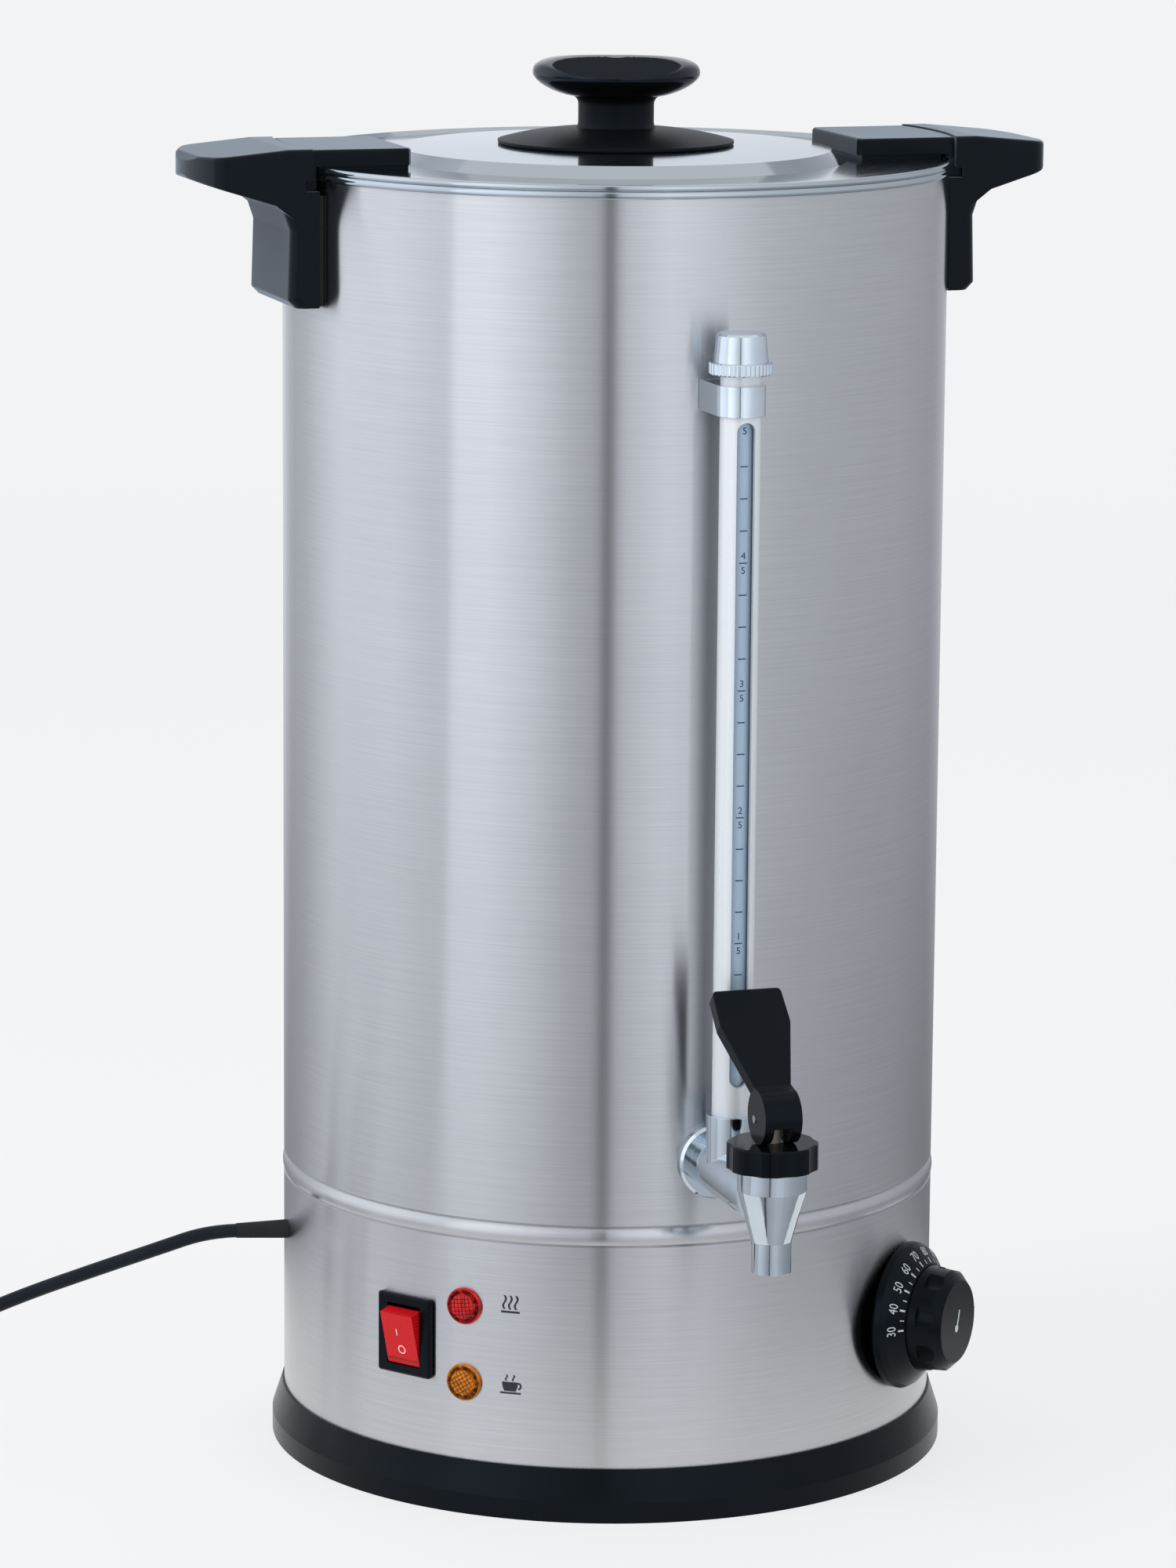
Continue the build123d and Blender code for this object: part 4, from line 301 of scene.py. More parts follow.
def press_on(sheet, place, node, strip):
    """Lays a flat sheet onto a CAD node from straight outside it, cut into strips so that it bends."""
    bmesh.ops.remove_doubles(sheet, verts=sheet.verts, dist=0.002)
    reach = max(abs(v.co.x) for v in sheet.verts)
    for step in range(-int(reach / strip), int(reach / strip) + 1):
        bmesh.ops.bisect_plane(sheet, geom=sheet.verts[:] + sheet.edges[:] + sheet.faces[:], dist=1e-4,
                               plane_co=(step * strip, 0, 0), plane_no=(1, 0, 0))
    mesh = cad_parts[node].data
    tree = BVHTree.FromPolygons([v.co for v in mesh.vertices], [p.vertices[:] for p in mesh.polygons])
    inward = -place.col[2].to_3d()
    for vert in sheet.verts:
        above = place @ (vert.co + Vector((0, 0, PRINT_FROM)))
        hit = tree.ray_cast(above * MM, inward)[0]
        if hit is None:
            raise RuntimeError(f"a mark misses {node}")
        vert.co = hit / MM - inward * (PRINT_LIFT + PRINT_T)
    bmesh.ops.recalc_face_normals(sheet, faces=sheet.faces)
    if sum(((f.normal @ -inward) * f.calc_area() for f in sheet.faces), 0.0) < 0:
        bmesh.ops.reverse_faces(sheet, faces=sheet.faces)
    bmesh.ops.solidify(sheet, geom=sheet.faces[:], thickness=PRINT_T)


# ---------------------------------------------------------------- materials

# Most of a noise's values lie in the wider range, and the narrower one gives clearer patches.
GRAIN_SPREAD = {"From Min": 0.3, "From Max": 0.7}
CLOUD_SPREAD = {"From Min": 0.35, "From Max": 0.65}


def grain(tree, stretch, size_mm, detail):
    """Noise in object coordinates, stretched by three factors, with grains of a real size."""
    place = add_node(tree, "ShaderNodeTexCoord")
    mapping = add_node(tree, "ShaderNodeMapping", {"Vector": place.outputs["Object"], "Scale": stretch})
    return add_node(tree, "ShaderNodeTexNoise", {
        "Vector": mapping.outputs[0], "Scale": 1 / (size_mm * MM), "Detail": detail})


def grained(name, colour, other, grain_mm, relief_mm, rough, cloud_mm=35.0, edge_mm=0.0, **sockets):
    """A finish whose tone drifts in soft clouds, and whose gloss and surface follow one fine grain."""
    material, tree, shader = new_material(name, colour, **sockets)
    cloud = grain(tree, (1, 1, 1), cloud_mm, 3.0)
    drift = add_node(tree, "ShaderNodeMapRange", {
        "Value": cloud.outputs[0], **CLOUD_SPREAD})
    tone = add_node(tree, "ShaderNodeMix", {
        "Factor": drift.outputs[0], "A": colour, "B": other}, data_type="RGBA")
    tree.links.new(tone.outputs["Result"], shader.inputs["Base Color"])
    fine = grain(tree, (1, 1, 1), grain_mm, 3.0)
    gloss = add_node(tree, "ShaderNodeMapRange", {
        "Value": fine.outputs[0], **GRAIN_SPREAD, "To Min": rough[0], "To Max": rough[1]})
    tree.links.new(gloss.outputs[0], shader.inputs["Roughness"])
    bump = add_node(tree, "ShaderNodeBump", {
        "Height": fine.outputs[0], "Strength": 1.0, "Distance": relief_mm * MM})
    if edge_mm:
        soft = add_node(tree, "ShaderNodeBevel", {"Radius": edge_mm * MM}, samples=4)
        tree.links.new(soft.outputs[0], bump.inputs["Normal"])
    tree.links.new(bump.outputs[0], shader.inputs["Normal"])
    return material


def brushed_stainless(colours):
    # Cold-rolled stainless sheet, belt-brushed round the barrel: fine level lines that
    # stretch every reflection up and down and leave it sharp from side to side.
    bright, dull = shades(colours.steel, 1, 0.78)
    material, tree, shader = new_material(
        "brushed_stainless", bright, Metallic=1.0, Roughness=0.25, Anisotropic=1.0, Anisotropic_Rotation=0.25)
    tangent = add_node(tree, "ShaderNodeTangent", direction_type="RADIAL", axis="Z")
    tree.links.new(tangent.outputs[0], shader.inputs["Tangent"])
    # Lines about 0.5 mm apart, drawn coarser than the real brushing so that they show.
    lines = grain(tree, (0.012, 0.012, 1.0), 0.5, 3.0)
    tone = add_node(tree, "ShaderNodeMapRange", {
        "Value": lines.outputs[0], **GRAIN_SPREAD, "To Min": 0.0, "To Max": 0.34})
    streaks = add_node(tree, "ShaderNodeMix", {
        "Factor": tone.outputs[0], "A": bright, "B": dull}, data_type="RGBA")
    # Broad faint clouds, as handling and wiping leave on the sheet.
    cloud = grain(tree, (1, 1, 0.6), 60.0, 4.0)
    wiped = add_node(tree, "ShaderNodeMapRange", {
        "Value": cloud.outputs[0], **CLOUD_SPREAD, "To Min": 0.0, "To Max": 0.22})
    mix = add_node(tree, "ShaderNodeMix", {
        "Factor": wiped.outputs[0], "A": streaks.outputs["Result"], "B": dull}, data_type="RGBA")
    tree.links.new(mix.outputs["Result"], shader.inputs["Base Color"])
    bump = add_node(tree, "ShaderNodeBump", {
        "Height": lines.outputs[0], "Strength": 0.06, "Distance": 0.0001})
    tree.links.new(bump.outputs[0], shader.inputs["Normal"])
    return material


def polished_stainless(colours):
    # Spun and buffed stainless sheet: a near mirror that shows faint rings from the wheel.
    colour = linear("B6BDC3")
    material, tree, shader = new_material("polished_stainless", colour, Metallic=1.0, Roughness=0.09)
    place = add_node(tree, "ShaderNodeTexCoord")
    flat = add_node(tree, "ShaderNodeVectorMath", {0: place.outputs["Object"], 1: (1, 1, 0)},
                    operation="MULTIPLY")
    reach = add_node(tree, "ShaderNodeVectorMath", {0: flat.outputs[0]}, operation="LENGTH")
    rings = add_node(tree, "ShaderNodeTexNoise", {
        "W": reach.outputs["Value"], "Scale": 1 / (0.7 * MM), "Detail": 3.0}, noise_dimensions="1D")
    gloss = add_node(tree, "ShaderNodeMapRange", {
        "Value": rings.outputs[0], **GRAIN_SPREAD, "To Min": 0.06, "To Max": 0.14})
    tree.links.new(gloss.outputs[0], shader.inputs["Roughness"])
    dents = grain(tree, (1, 1, 1), 45.0, 1.0)
    waves = add_node(tree, "ShaderNodeBump", {
        "Height": dents.outputs[0], "Strength": 0.25, "Distance": 0.0006})
    bump = add_node(tree, "ShaderNodeBump", {
        "Height": rings.outputs[0], "Strength": 0.05, "Distance": 0.0001, "Normal": waves.outputs[0]})
    tree.links.new(bump.outputs[0], shader.inputs["Normal"])
    return material


def satin_tube(colours):
    # Aluminium tube, drawn and satin anodised: pale, soft reflections, fine lines along it.
    material, tree, shader = new_material("satin_anodised_tube", linear("D9DDE1"), Metallic=0.35,
                                          Roughness=0.32)
    lines = grain(tree, (1.0, 1.0, 0.02), 0.25, 3.0)
    gloss = add_node(tree, "ShaderNodeMapRange", {
        "Value": lines.outputs[0], **GRAIN_SPREAD, "To Min": 0.24, "To Max": 0.4})
    tree.links.new(gloss.outputs[0], shader.inputs["Roughness"])
    bump = add_node(tree, "ShaderNodeBump", {
        "Height": lines.outputs[0], "Strength": 0.12, "Distance": 0.0001})
    tree.links.new(bump.outputs[0], shader.inputs["Normal"])
    return material


def gauge_glass(colours):
    # Borosilicate tube, drawn: a cool blue-grey with painted shade that deepens it to the right, under a
    # sharp surface shine.
    pale, deep = shades(colours.glass, 1, 0.62)
    material, tree, shader = new_material(
        "borosilicate_tube", pale, Roughness=0.05, IOR=1.47, Transmission_Weight=0.25)
    place = add_node(tree, "ShaderNodeTexCoord")
    parts = add_node(tree, "ShaderNodeSeparateXYZ", {0: place.outputs["Object"]})
    # Painted shade: the tone darkens across the tube from its left side to its right, streaked along the
    # drawing lines.
    side = add_node(tree, "ShaderNodeMapRange", {
        "Value": parts.outputs[0], "From Min": -3.5 * MM, "From Max": 4.5 * MM})
    drawn = grain(tree, (1.0, 1.0, 0.03), 1.5, 2.0)
    blend = add_node(tree, "ShaderNodeMath", {
        0: side.outputs[0], 1: drawn.outputs[0]}, operation="MULTIPLY")
    tone = add_node(tree, "ShaderNodeMix", {
        "Factor": blend.outputs[0], "A": pale, "B": deep}, data_type="RGBA")
    tree.links.new(tone.outputs["Result"], shader.inputs["Base Color"])
    return material


def lens_plastic(name, colour):
    # Polycarbonate, moulded clear and tinted: light sinks in a little and the surface shines.
    deep = tuple(c * 0.45 for c in colour)
    return grained(name, (*colour, 1), (*deep, 1), 0.4, 0.004, (0.08, 0.18), cloud_mm=3.0,
                   IOR=1.58, Transmission_Weight=0.08, Specular_IOR_Level=0.15)


def rocker_plastic(colours):
    # Polycarbonate, tinted through, with small prisms moulded under its face: they show as a fine mesh.
    colour, deep = shades(colours.rocker, 1, 0.55)
    material, tree, shader = new_material(
        "tinted_polycarbonate", colour, Roughness=0.25, IOR=1.58, Specular_IOR_Level=0.15)
    place = add_node(tree, "ShaderNodeTexCoord")
    turned = add_node(tree, "ShaderNodeMapping", {
        "Vector": place.outputs["Object"], "Rotation": (0, 0, radians(-SWITCH_AZIMUTH))})
    tilted = add_node(tree, "ShaderNodeMapping", {
        "Vector": turned.outputs[0], "Rotation": (0, radians(45), 0)})
    parts = add_node(tree, "ShaderNodeSeparateXYZ", {0: tilted.outputs[0]})
    across, along = (add_node(tree, "ShaderNodeMath", {0: parts.outputs[axis], 1: PRISM_HALF * MM},
                              operation="PINGPONG") for axis in (0, 2))
    prisms = add_node(tree, "ShaderNodeMath", {0: across.outputs[0], 1: along.outputs[0]},
                      operation="MINIMUM")
    lines = add_node(tree, "ShaderNodeMapRange", {
        "Value": prisms.outputs[0], "From Max": PRISM_LINE * MM, "To Min": 0.75, "To Max": 0.0})
    tone = add_node(tree, "ShaderNodeMix", {
        "Factor": lines.outputs[0], "A": colour, "B": deep}, data_type="RGBA")
    tree.links.new(tone.outputs["Result"], shader.inputs["Base Color"])
    bump = add_node(tree, "ShaderNodeBump", {"Height": prisms.outputs[0], "Strength": 0.5, "Distance": 0.4})
    tree.links.new(bump.outputs[0], shader.inputs["Normal"])
    return material


# Black mouldings shine a little blue.
COOL = linear("C8DCF0")

# Finishes that several groups share. Each is made once, by its name.
FINISHES = {
    "brushed_stainless": brushed_stainless,
    "polished_stainless": polished_stainless,
    "satin_anodised_tube": satin_tube,
    "borosilicate_tube": gauge_glass,
    "tinted_polycarbonate": rocker_plastic,
    "red_polycarbonate": lambda c: lens_plastic("red_polycarbonate", c.red_lens),
    "amber_polycarbonate": lambda c: lens_plastic("amber_polycarbonate", c.amber_lens),
    # The lens tint at 0.12 of its strength: painted shade, for the lines between a lens's pyramids and the
    # ring round it.
    "red_groove": lambda c: lens_plastic("red_groove", [p * 0.12 for p in c.red_lens]),
    "amber_groove": lambda c: lens_plastic("amber_groove", [p * 0.12 for p in c.amber_lens]),
    # ABS, moulded in a spark-eroded tool: near black with a fine matt pebble, soft at its edges.
    "spark_textured_abs": lambda c: grained(
        "spark_textured_abs", *shades(c.plastic, 1, 1.5), 0.35, 0.008, (0.3, 0.42),
        edge_mm=0.6, IOR=1.5, Specular_IOR_Level=0.14, Specular_Tint=COOL, Sheen_Weight=0.5,
        Sheen_Roughness=0.35, Sheen_Tint=COOL),
    # ABS from a stoned tool: smoother, with a low even sheen.
    "satin_abs": lambda c: grained(
        "satin_abs", *shades(c.plastic, 1, 1.3), 0.5, 0.004, (0.22, 0.32),
        edge_mm=0.5, IOR=1.5, Specular_IOR_Level=0.14, Specular_Tint=COOL),
    # ABS from a vapour-blasted tool: black, with a soft broad sheen.
    "soft_sheen_abs": lambda c: grained(
        "soft_sheen_abs", *shades(c.plastic, 1, 1.3), 0.5, 0.004, (0.4, 0.5),
        edge_mm=0.8, IOR=1.5, Specular_IOR_Level=0.16, Specular_Tint=COOL),
    # ABS that hands have rubbed smooth: black, with clear highlights along its edges.
    "handled_abs": lambda c: grained(
        "handled_abs", *shades(c.plastic, 1, 1.3), 0.5, 0.002, (0.12, 0.2),
        edge_mm=0.4, IOR=1.5, Specular_IOR_Level=0.35, Specular_Tint=COOL),
    # ABS from a coarse blasted tool: black and matt.
    "matt_abs": lambda c: grained(
        "matt_abs", *shades(c.plastic, 1.6, 2), 0.5, 0.01, (0.75, 0.85),
        IOR=1.5, Specular_IOR_Level=0.1, Specular_Tint=COOL),
    # ABS from a polished tool: black and glossy.
    "gloss_abs": lambda c: grained(
        "gloss_abs", *shades(c.plastic, 0.8, 1), 0.6, 0.002, (0.08, 0.14),
        edge_mm=0.4, IOR=1.5, Specular_IOR_Level=0.16, Specular_Tint=COOL),
    # EPDM rubber, moulded: dull and dusty.
    "moulded_rubber": lambda c: grained(
        "moulded_rubber", linear("151617"), linear("222425"), 0.6, 0.03, (0.65, 0.85), IOR=1.5,
        Specular_IOR_Level=0.3),
    # Silicone, moulded: milky, soft and dull.
    "moulded_silicone": lambda c: grained(
        "moulded_silicone", linear("D5CFC6"), linear("C4BCB0"), 0.6, 0.02, (0.5, 0.65), IOR=1.41,
        Subsurface_Weight=0.2, Subsurface_Scale=0.002),
    # Steel, zinc plated and clear passivated: a cool grey crystal bloom.
    "zinc_plated_steel": lambda c: grained(
        "zinc_plated_steel", linear("B9BBBD"), linear("A5A9AE"), 0.8, 0.008, (0.28, 0.42), cloud_mm=6.0,
        Metallic=1.0),
    # Brass, chrome plated and buffed: a cold mirror with the faint waves of the casting.
    "chrome_plate": lambda c: grained(
        "chrome_plate", linear("D0D9E0"), linear("C6D0D8"), 9.0, 0.03, (0.05, 0.09), cloud_mm=20.0,
        edge_mm=0.3, Metallic=1.0),
    # Aluminium, die cast: grey with a coarse sandy skin.
    "die_cast_aluminium": lambda c: grained(
        "die_cast_aluminium", linear("9A9C9E"), linear("85888B"), 0.7, 0.06, (0.45, 0.65), Metallic=1.0),
    # Brass, stamped: warm, with a slight tarnish.
    "stamped_brass": lambda c: grained(
        "stamped_brass", linear("C9A45A"), linear("A98545"), 0.8, 0.006, (0.2, 0.35), cloud_mm=5.0,
        Metallic=1.0),
    # Nylon, moulded natural: ivory, waxy.
    "natural_nylon": lambda c: grained(
        "natural_nylon", linear("DCD8CB"), linear("CFC9B8"), 0.6, 0.01, (0.4, 0.5), IOR=1.53,
        Subsurface_Weight=0.1, Subsurface_Scale=0.002),
    # Glass-fibre sleeving over silicone wire: white, faintly woven.
    "fibre_sleeving": lambda c: grained(
        "fibre_sleeving", linear("C9C6BC"), linear("B3AFA3"), 0.35, 0.05, (0.6, 0.8), cloud_mm=4.0, IOR=1.45),
    # Mineral wool, needled: straw-coloured, open and dull.
    "mineral_wool": lambda c: grained(
        "mineral_wool", linear("C9BE9B"), linear("A89C78"), 2.0, 0.8, (0.9, 1.0), cloud_mm=12.0, IOR=1.45),
    # PVC jacket, extruded: soft black with a low sheen.
    "pvc_jacket": lambda c: grained(
        "pvc_jacket", linear("0B0E11"), linear("15191C"), 1.5, 0.02, (0.38, 0.5), IOR=1.53,
        Specular_IOR_Level=0.25, Specular_Tint=COOL),
    # Screen-printed epoxy ink: thin and satin, with slight specks where it is thinner.
    "blue_ink": lambda c: grained(
        "blue_ink", *shades(c.gauge_ink, 1, 1.4), 0.3, 0.002, (0.35, 0.5), cloud_mm=1.5),
    "dark_ink": lambda c: grained(
        "dark_ink", *shades(c.sign_ink, 1, 1.6), 0.3, 0.002, (0.35, 0.5), cloud_mm=2.0),
    "pale_ink": lambda c: grained(
        "pale_ink", *shades(c.dial_ink, 1, 0.75), 0.3, 0.002, (0.4, 0.55), cloud_mm=1.5),
    # Polycarbonate in the shade of a notch.
    "red_shade": lambda c: grained(
        "red_shade", *shades(c.rocker, 0.25, 0.15), 0.3, 0.002, (0.3, 0.5),
        cloud_mm=1.5),
    "rocker_ink": lambda c: grained(
        "rocker_ink", linear("FFD6D6"), linear("F5BEBE"), 0.3, 0.002, (0.35, 0.5), cloud_mm=1.5),
}

MADE = {}


def finish(name):
    """One of the shared finishes, made when it is first asked for."""
    if name not in MADE:
        MADE[name] = FINISHES[name](bpy.context.scene.urn_colours)
    return MADE[name]


# ---------------------------------------------------------------- settings


def colour_setting(label, description, hex_code):
    """A colour in the panel, from its sRGB hex code."""
    return FloatVectorProperty(name=label, description=description, subtype="COLOR", size=3, min=0, max=1,
                               default=linear(hex_code)[:3])


class UrnColours(bpy.types.PropertyGroup):
    """Colours of the urn's finishes"""
    steel: colour_setting("Steel", "Tone of the brushed stainless sheet", "C9C9CB")
    plastic: colour_setting("Plastic", "Tone of the black mouldings", "080B0E")
    rocker: colour_setting("Rocker", "Tint of the switch's rocker", "D4141B")
    red_lens: colour_setting("Upper lamp", "Tint of the upper lamp's lens", "DC221E")
    amber_lens: colour_setting("Lower lamp", "Tint of the lower lamp's lens", "E0800C")
    glass: colour_setting("Gauge glass", "Tone seen in the gauge's window", "BCD4EA")
    gauge_ink: colour_setting("Gauge ink", "Ink of the gauge's scale", "12305A")
    dial_ink: colour_setting("Dial ink", "Ink of the dial's scale", "C6CED2")
    sign_ink: colour_setting("Sign ink", "Ink of the signs beside the lamps", "161A24")


class UrnSizes(bpy.types.PropertyGroup):
    """Sizes of the urn's scales and lenses"""
    gauge_first: FloatProperty(name="First mark", description="Height of the gauge's first fraction",
                               unit="LENGTH", default=227.1 * MM)
    gauge_step: FloatProperty(name="Mark spacing", description="Height from one fraction to the next",
                              unit="LENGTH", default=47.2 * MM)
    gauge_fractions: IntProperty(name="Fractions", description="Fractions the gauge is divided into",
                                 default=5, min=2, max=9)
    gauge_ticks: IntProperty(name="Ticks", description="Ticks in each fraction", default=4, min=1, max=10)
    dial_first: IntProperty(name="Lowest", description="Lowest temperature on the dial", default=30)
    dial_last: IntProperty(name="Highest", description="Highest temperature on the dial", default=110)
    dial_step: IntProperty(name="Step", description="Degrees between two numbers on the dial", default=10,
                           min=5)
    lens_cell: FloatProperty(name="Lens cell", description="Width of one pyramid of a lamp's lens",
                             unit="LENGTH", default=1.5 * MM, min=0.5 * MM)


# ---------------------------------------------------------------- stage

# The azimuth is in degrees, distance, height and lens in millimetres, the other angles in radians.
CAMERA_AZIMUTH = -18.2
CAMERA_DISTANCE = 2363.86
CAMERA_HEIGHT = 712.5
CAMERA_PITCH = 0.1897
CAMERA_YAW = -0.0037
CAMERA_ROLL = 0.0077
CAMERA_LENS = 141.606

ROOM_TONE = linear("F2F3F5")
ROOM_LIGHT = 0.62       # strength of the room's light on things, against 1 where it is looked at
FLOOR_HALF = 30
FLOOR_GLOW = ((0.5, 3.0), (0.82, 1.0))  # metres from the urn, share of the floor that just glows

# Soft boxes: a large one high on the left, a weaker one on the right, one overhead and behind.
# Azimuth in degrees, reach and height in millimetres, width and height in metres, watts.
LIGHTS = {"key_light": (-75, 1900, 1500, 1.4, 1.6, 30),
          "fill_light": (45, 2200, 1100, 1.2, 1.6, 14),
          "top_light": (170, 900, 2200, 1.6, 1.6, 16)}
LIGHTS_AIM = Vector((0, 0, 0.25))

# (reach, height) in metres of the studio's table top and wall, which only reflections show.
DRUM = ((0.3, 0.002), (2.2, 0.002), (2.2, 2.8))
# How bright the studio's walls and table are, by azimuth from the camera, negative to the left.
WALL_TONES = ((-180, 0.72), (-166, 0.68), (-146, 0.48), (-130, 0.62), (-118, 0.82), (-107, 1.0),
              (-79, 1.02), (-63, 0.90), (-56, 0.88), (-55, 1.2), (-41, 1.17), (-27, 0.97),
              (-14, 0.70), (-4, 0.57), (-2.6, 0.12), (-0.4, 0.12), (1.5, 0.72), (5, 0.81),
              (18, 1.02), (26, 0.96), (52, 0.68), (67, 0.62), (93, 0.56), (114, 0.52),
              (144, 0.38), (160, 0.45), (172, 0.6), (180, 0.72))
WALL_TINT = (0.955, 1.0, 1.075)
WALL_FADE = ((0.3, 2.4), (1.1, 2.6))    # metres from the urn's foot, strength of the tones there


def seen_rays(tree):
    """1 for a ray that looks at a thing, straight or through metal and glass, 0 for one that lights it."""
    path = add_node(tree, "ShaderNodeLightPath")
    seen = add_node(tree, "ShaderNodeMath", {
        0: path.outputs["Is Camera Ray"], 1: path.outputs["Is Glossy Ray"]}, operation="MAXIMUM")
    return add_node(tree, "ShaderNodeMath", {
        0: seen.outputs[0], 1: path.outputs["Is Transmission Ray"]}, operation="MAXIMUM")


def by_distance(tree, distances, values):
    """A value that goes from one to another between two distances from the origin, in metres."""
    place = add_node(tree, "ShaderNodeTexCoord")
    length = add_node(tree, "ShaderNodeVectorMath", {0: place.outputs["Object"]}, operation="LENGTH")
    return add_node(tree, "ShaderNodeMapRange", {
        "Value": length.outputs["Value"], "From Min": distances[0], "From Max": distances[1],
        "To Min": values[0], "To Max": values[1]}).outputs[0]


def make_camera(scene):
    """The camera, aimed by its yaw, pitch and roll from a place in front of the urn."""
    camera = bpy.data.objects.new("camera", bpy.data.cameras.new("camera"))
    camera.data.sensor_width = 36
    camera.data.lens = CAMERA_LENS
    camera.data.clip_end = 200
    forward = Vector((sin(CAMERA_YAW) * cos(CAMERA_PITCH), cos(CAMERA_YAW) * cos(CAMERA_PITCH),
                      -sin(CAMERA_PITCH)))
    right = Vector((cos(CAMERA_YAW), -sin(CAMERA_YAW), 0))
    up = right.cross(forward)
    turn = Matrix.Rotation(radians(CAMERA_AZIMUTH), 3, "Z")
    across = turn @ (right * cos(CAMERA_ROLL) + up * sin(CAMERA_ROLL))
    upward = turn @ (up * cos(CAMERA_ROLL) - right * sin(CAMERA_ROLL))
    camera.matrix_world = Matrix.Translation(
        turn @ Vector((0, -CAMERA_DISTANCE, CAMERA_HEIGHT)) * MM) @ Matrix(
        (across, upward, turn @ -forward)).transposed().to_4x4()
    scene.collection.objects.link(camera)
    scene.camera = camera


def reflector_drum():
    """The walls and table top of the studio, as only polished surfaces see them."""
    material = bpy.data.materials.new("studio_walls")
    material.use_nodes = True
    material.cycles.emission_sampling = "NONE"
    tree = material.node_tree
    tree.nodes.clear()
    place = add_node(tree, "ShaderNodeTexCoord")
    turned = add_node(tree, "ShaderNodeVectorRotate", {
        "Vector": place.outputs["Object"], "Angle": radians(90 - CAMERA_AZIMUTH)},
        rotation_type="Z_AXIS")
    parts = add_node(tree, "ShaderNodeSeparateXYZ", {0: turned.outputs[0]})
    azimuth = add_node(tree, "ShaderNodeMath", {0: parts.outputs[1], 1: parts.outputs[0]},
                       operation="ARCTAN2")
    share = add_node(tree, "ShaderNodeMapRange", {
        "Value": azimuth.outputs[0], "From Min": -pi, "From Max": pi})
    ramp = add_node(tree, "ShaderNodeValToRGB", {0: share.outputs[0]})
    # The ramp holds half of each tone, so that none of its colours passes 1.
    for index, (bearing, tone) in enumerate(WALL_TONES):
        spot = (bearing + 180) / 360
        element = ramp.color_ramp.elements[index] if index < 2 else ramp.color_ramp.elements.new(spot)
        element.position = spot
        element.color = (*(tone / 2 * c for c in WALL_TINT), 1)
    glow = add_node(tree, "ShaderNodeEmission", {
        "Color": ramp.outputs[0], "Strength": by_distance(tree, *WALL_FADE)})
    add_node(tree, "ShaderNodeOutputMaterial", {"Surface": glow.outputs[0]})
    drum = as_object(lathe(DRUM, 96), "reflector_drum", material)
    for ray in ("visible_camera", "visible_diffuse", "visible_transmission", "visible_shadow"):
        setattr(drum, ray, False)


class URN_OT_stage(bpy.types.Operator):
    """Sets up the floor, the studio's light and the camera"""
    bl_idname = "urn.stage"
    bl_label = "Stage"

    def execute(self, context):
        scene = context.scene
        scene.view_settings.view_transform = "Standard"
        make_camera(scene)

        # The world is a plain pale room: seen as written, and softer on what it lights.
        world = bpy.data.worlds.new("pale_room")
        world.use_nodes = True
        scene.world = world
        tree = world.node_tree
        tree.nodes.clear()
        strength = add_node(tree, "ShaderNodeMapRange", {
            "Value": seen_rays(tree).outputs[0], "To Min": ROOM_LIGHT, "To Max": 1.0})
        light = add_node(tree, "ShaderNodeBackground", {
            "Color": ROOM_TONE, "Strength": strength.outputs[0]})
        add_node(tree, "ShaderNodeOutputWorld", {"Surface": light.outputs[0]})

        # The floor glows at the room's own tone and lets a part of the real shadow through near the urn.
        ground = bmesh.new()
        bmesh.ops.create_grid(ground, x_segments=1, y_segments=1, size=FLOOR_HALF)
        material, tree, shader = new_material("pale_floor", ROOM_TONE, Roughness=1.0,
                                              Specular_IOR_Level=0.0)
        share = add_node(tree, "ShaderNodeMath", {
            0: seen_rays(tree).outputs[0], 1: by_distance(tree, *FLOOR_GLOW)}, operation="MULTIPLY")
        glow = add_node(tree, "ShaderNodeEmission", {"Color": ROOM_TONE, "Strength": 1.0})
        both = add_node(tree, "ShaderNodeMixShader", {
            0: share.outputs[0], 1: shader.outputs[0], 2: glow.outputs[0]})
        output = next(n for n in tree.nodes if n.type == "OUTPUT_MATERIAL")
        tree.links.new(both.outputs[0], output.inputs["Surface"])
        as_object(ground, "floor", material)

        reflector_drum()

        for name, (azimuth, reach, height, width, tall, watts) in LIGHTS.items():
            lamp = bpy.data.lights.new(name, "AREA")
            lamp.shape = "RECTANGLE"
            lamp.size = width
            lamp.size_y = tall
            lamp.energy = watts
            holder = bpy.data.objects.new(name, lamp)
            holder.visible_glossy = False
            place = wall(azimuth, height, reach).translation * MM
            aim = (LIGHTS_AIM - place).to_track_quat("-Z", "Y").to_matrix().to_4x4()
            holder.matrix_world = Matrix.Translation(place) @ aim
            scene.collection.objects.link(holder)
        return {"FINISHED"}


# ---------------------------------------------------------------- mains lead


def smooth_step(t):
    """0 up to t = 0, 1 from t = 1, and a soft rise between them."""
    t = min(max(t, 0.0), 1.0)
    return t * t * (3 - 2 * t)


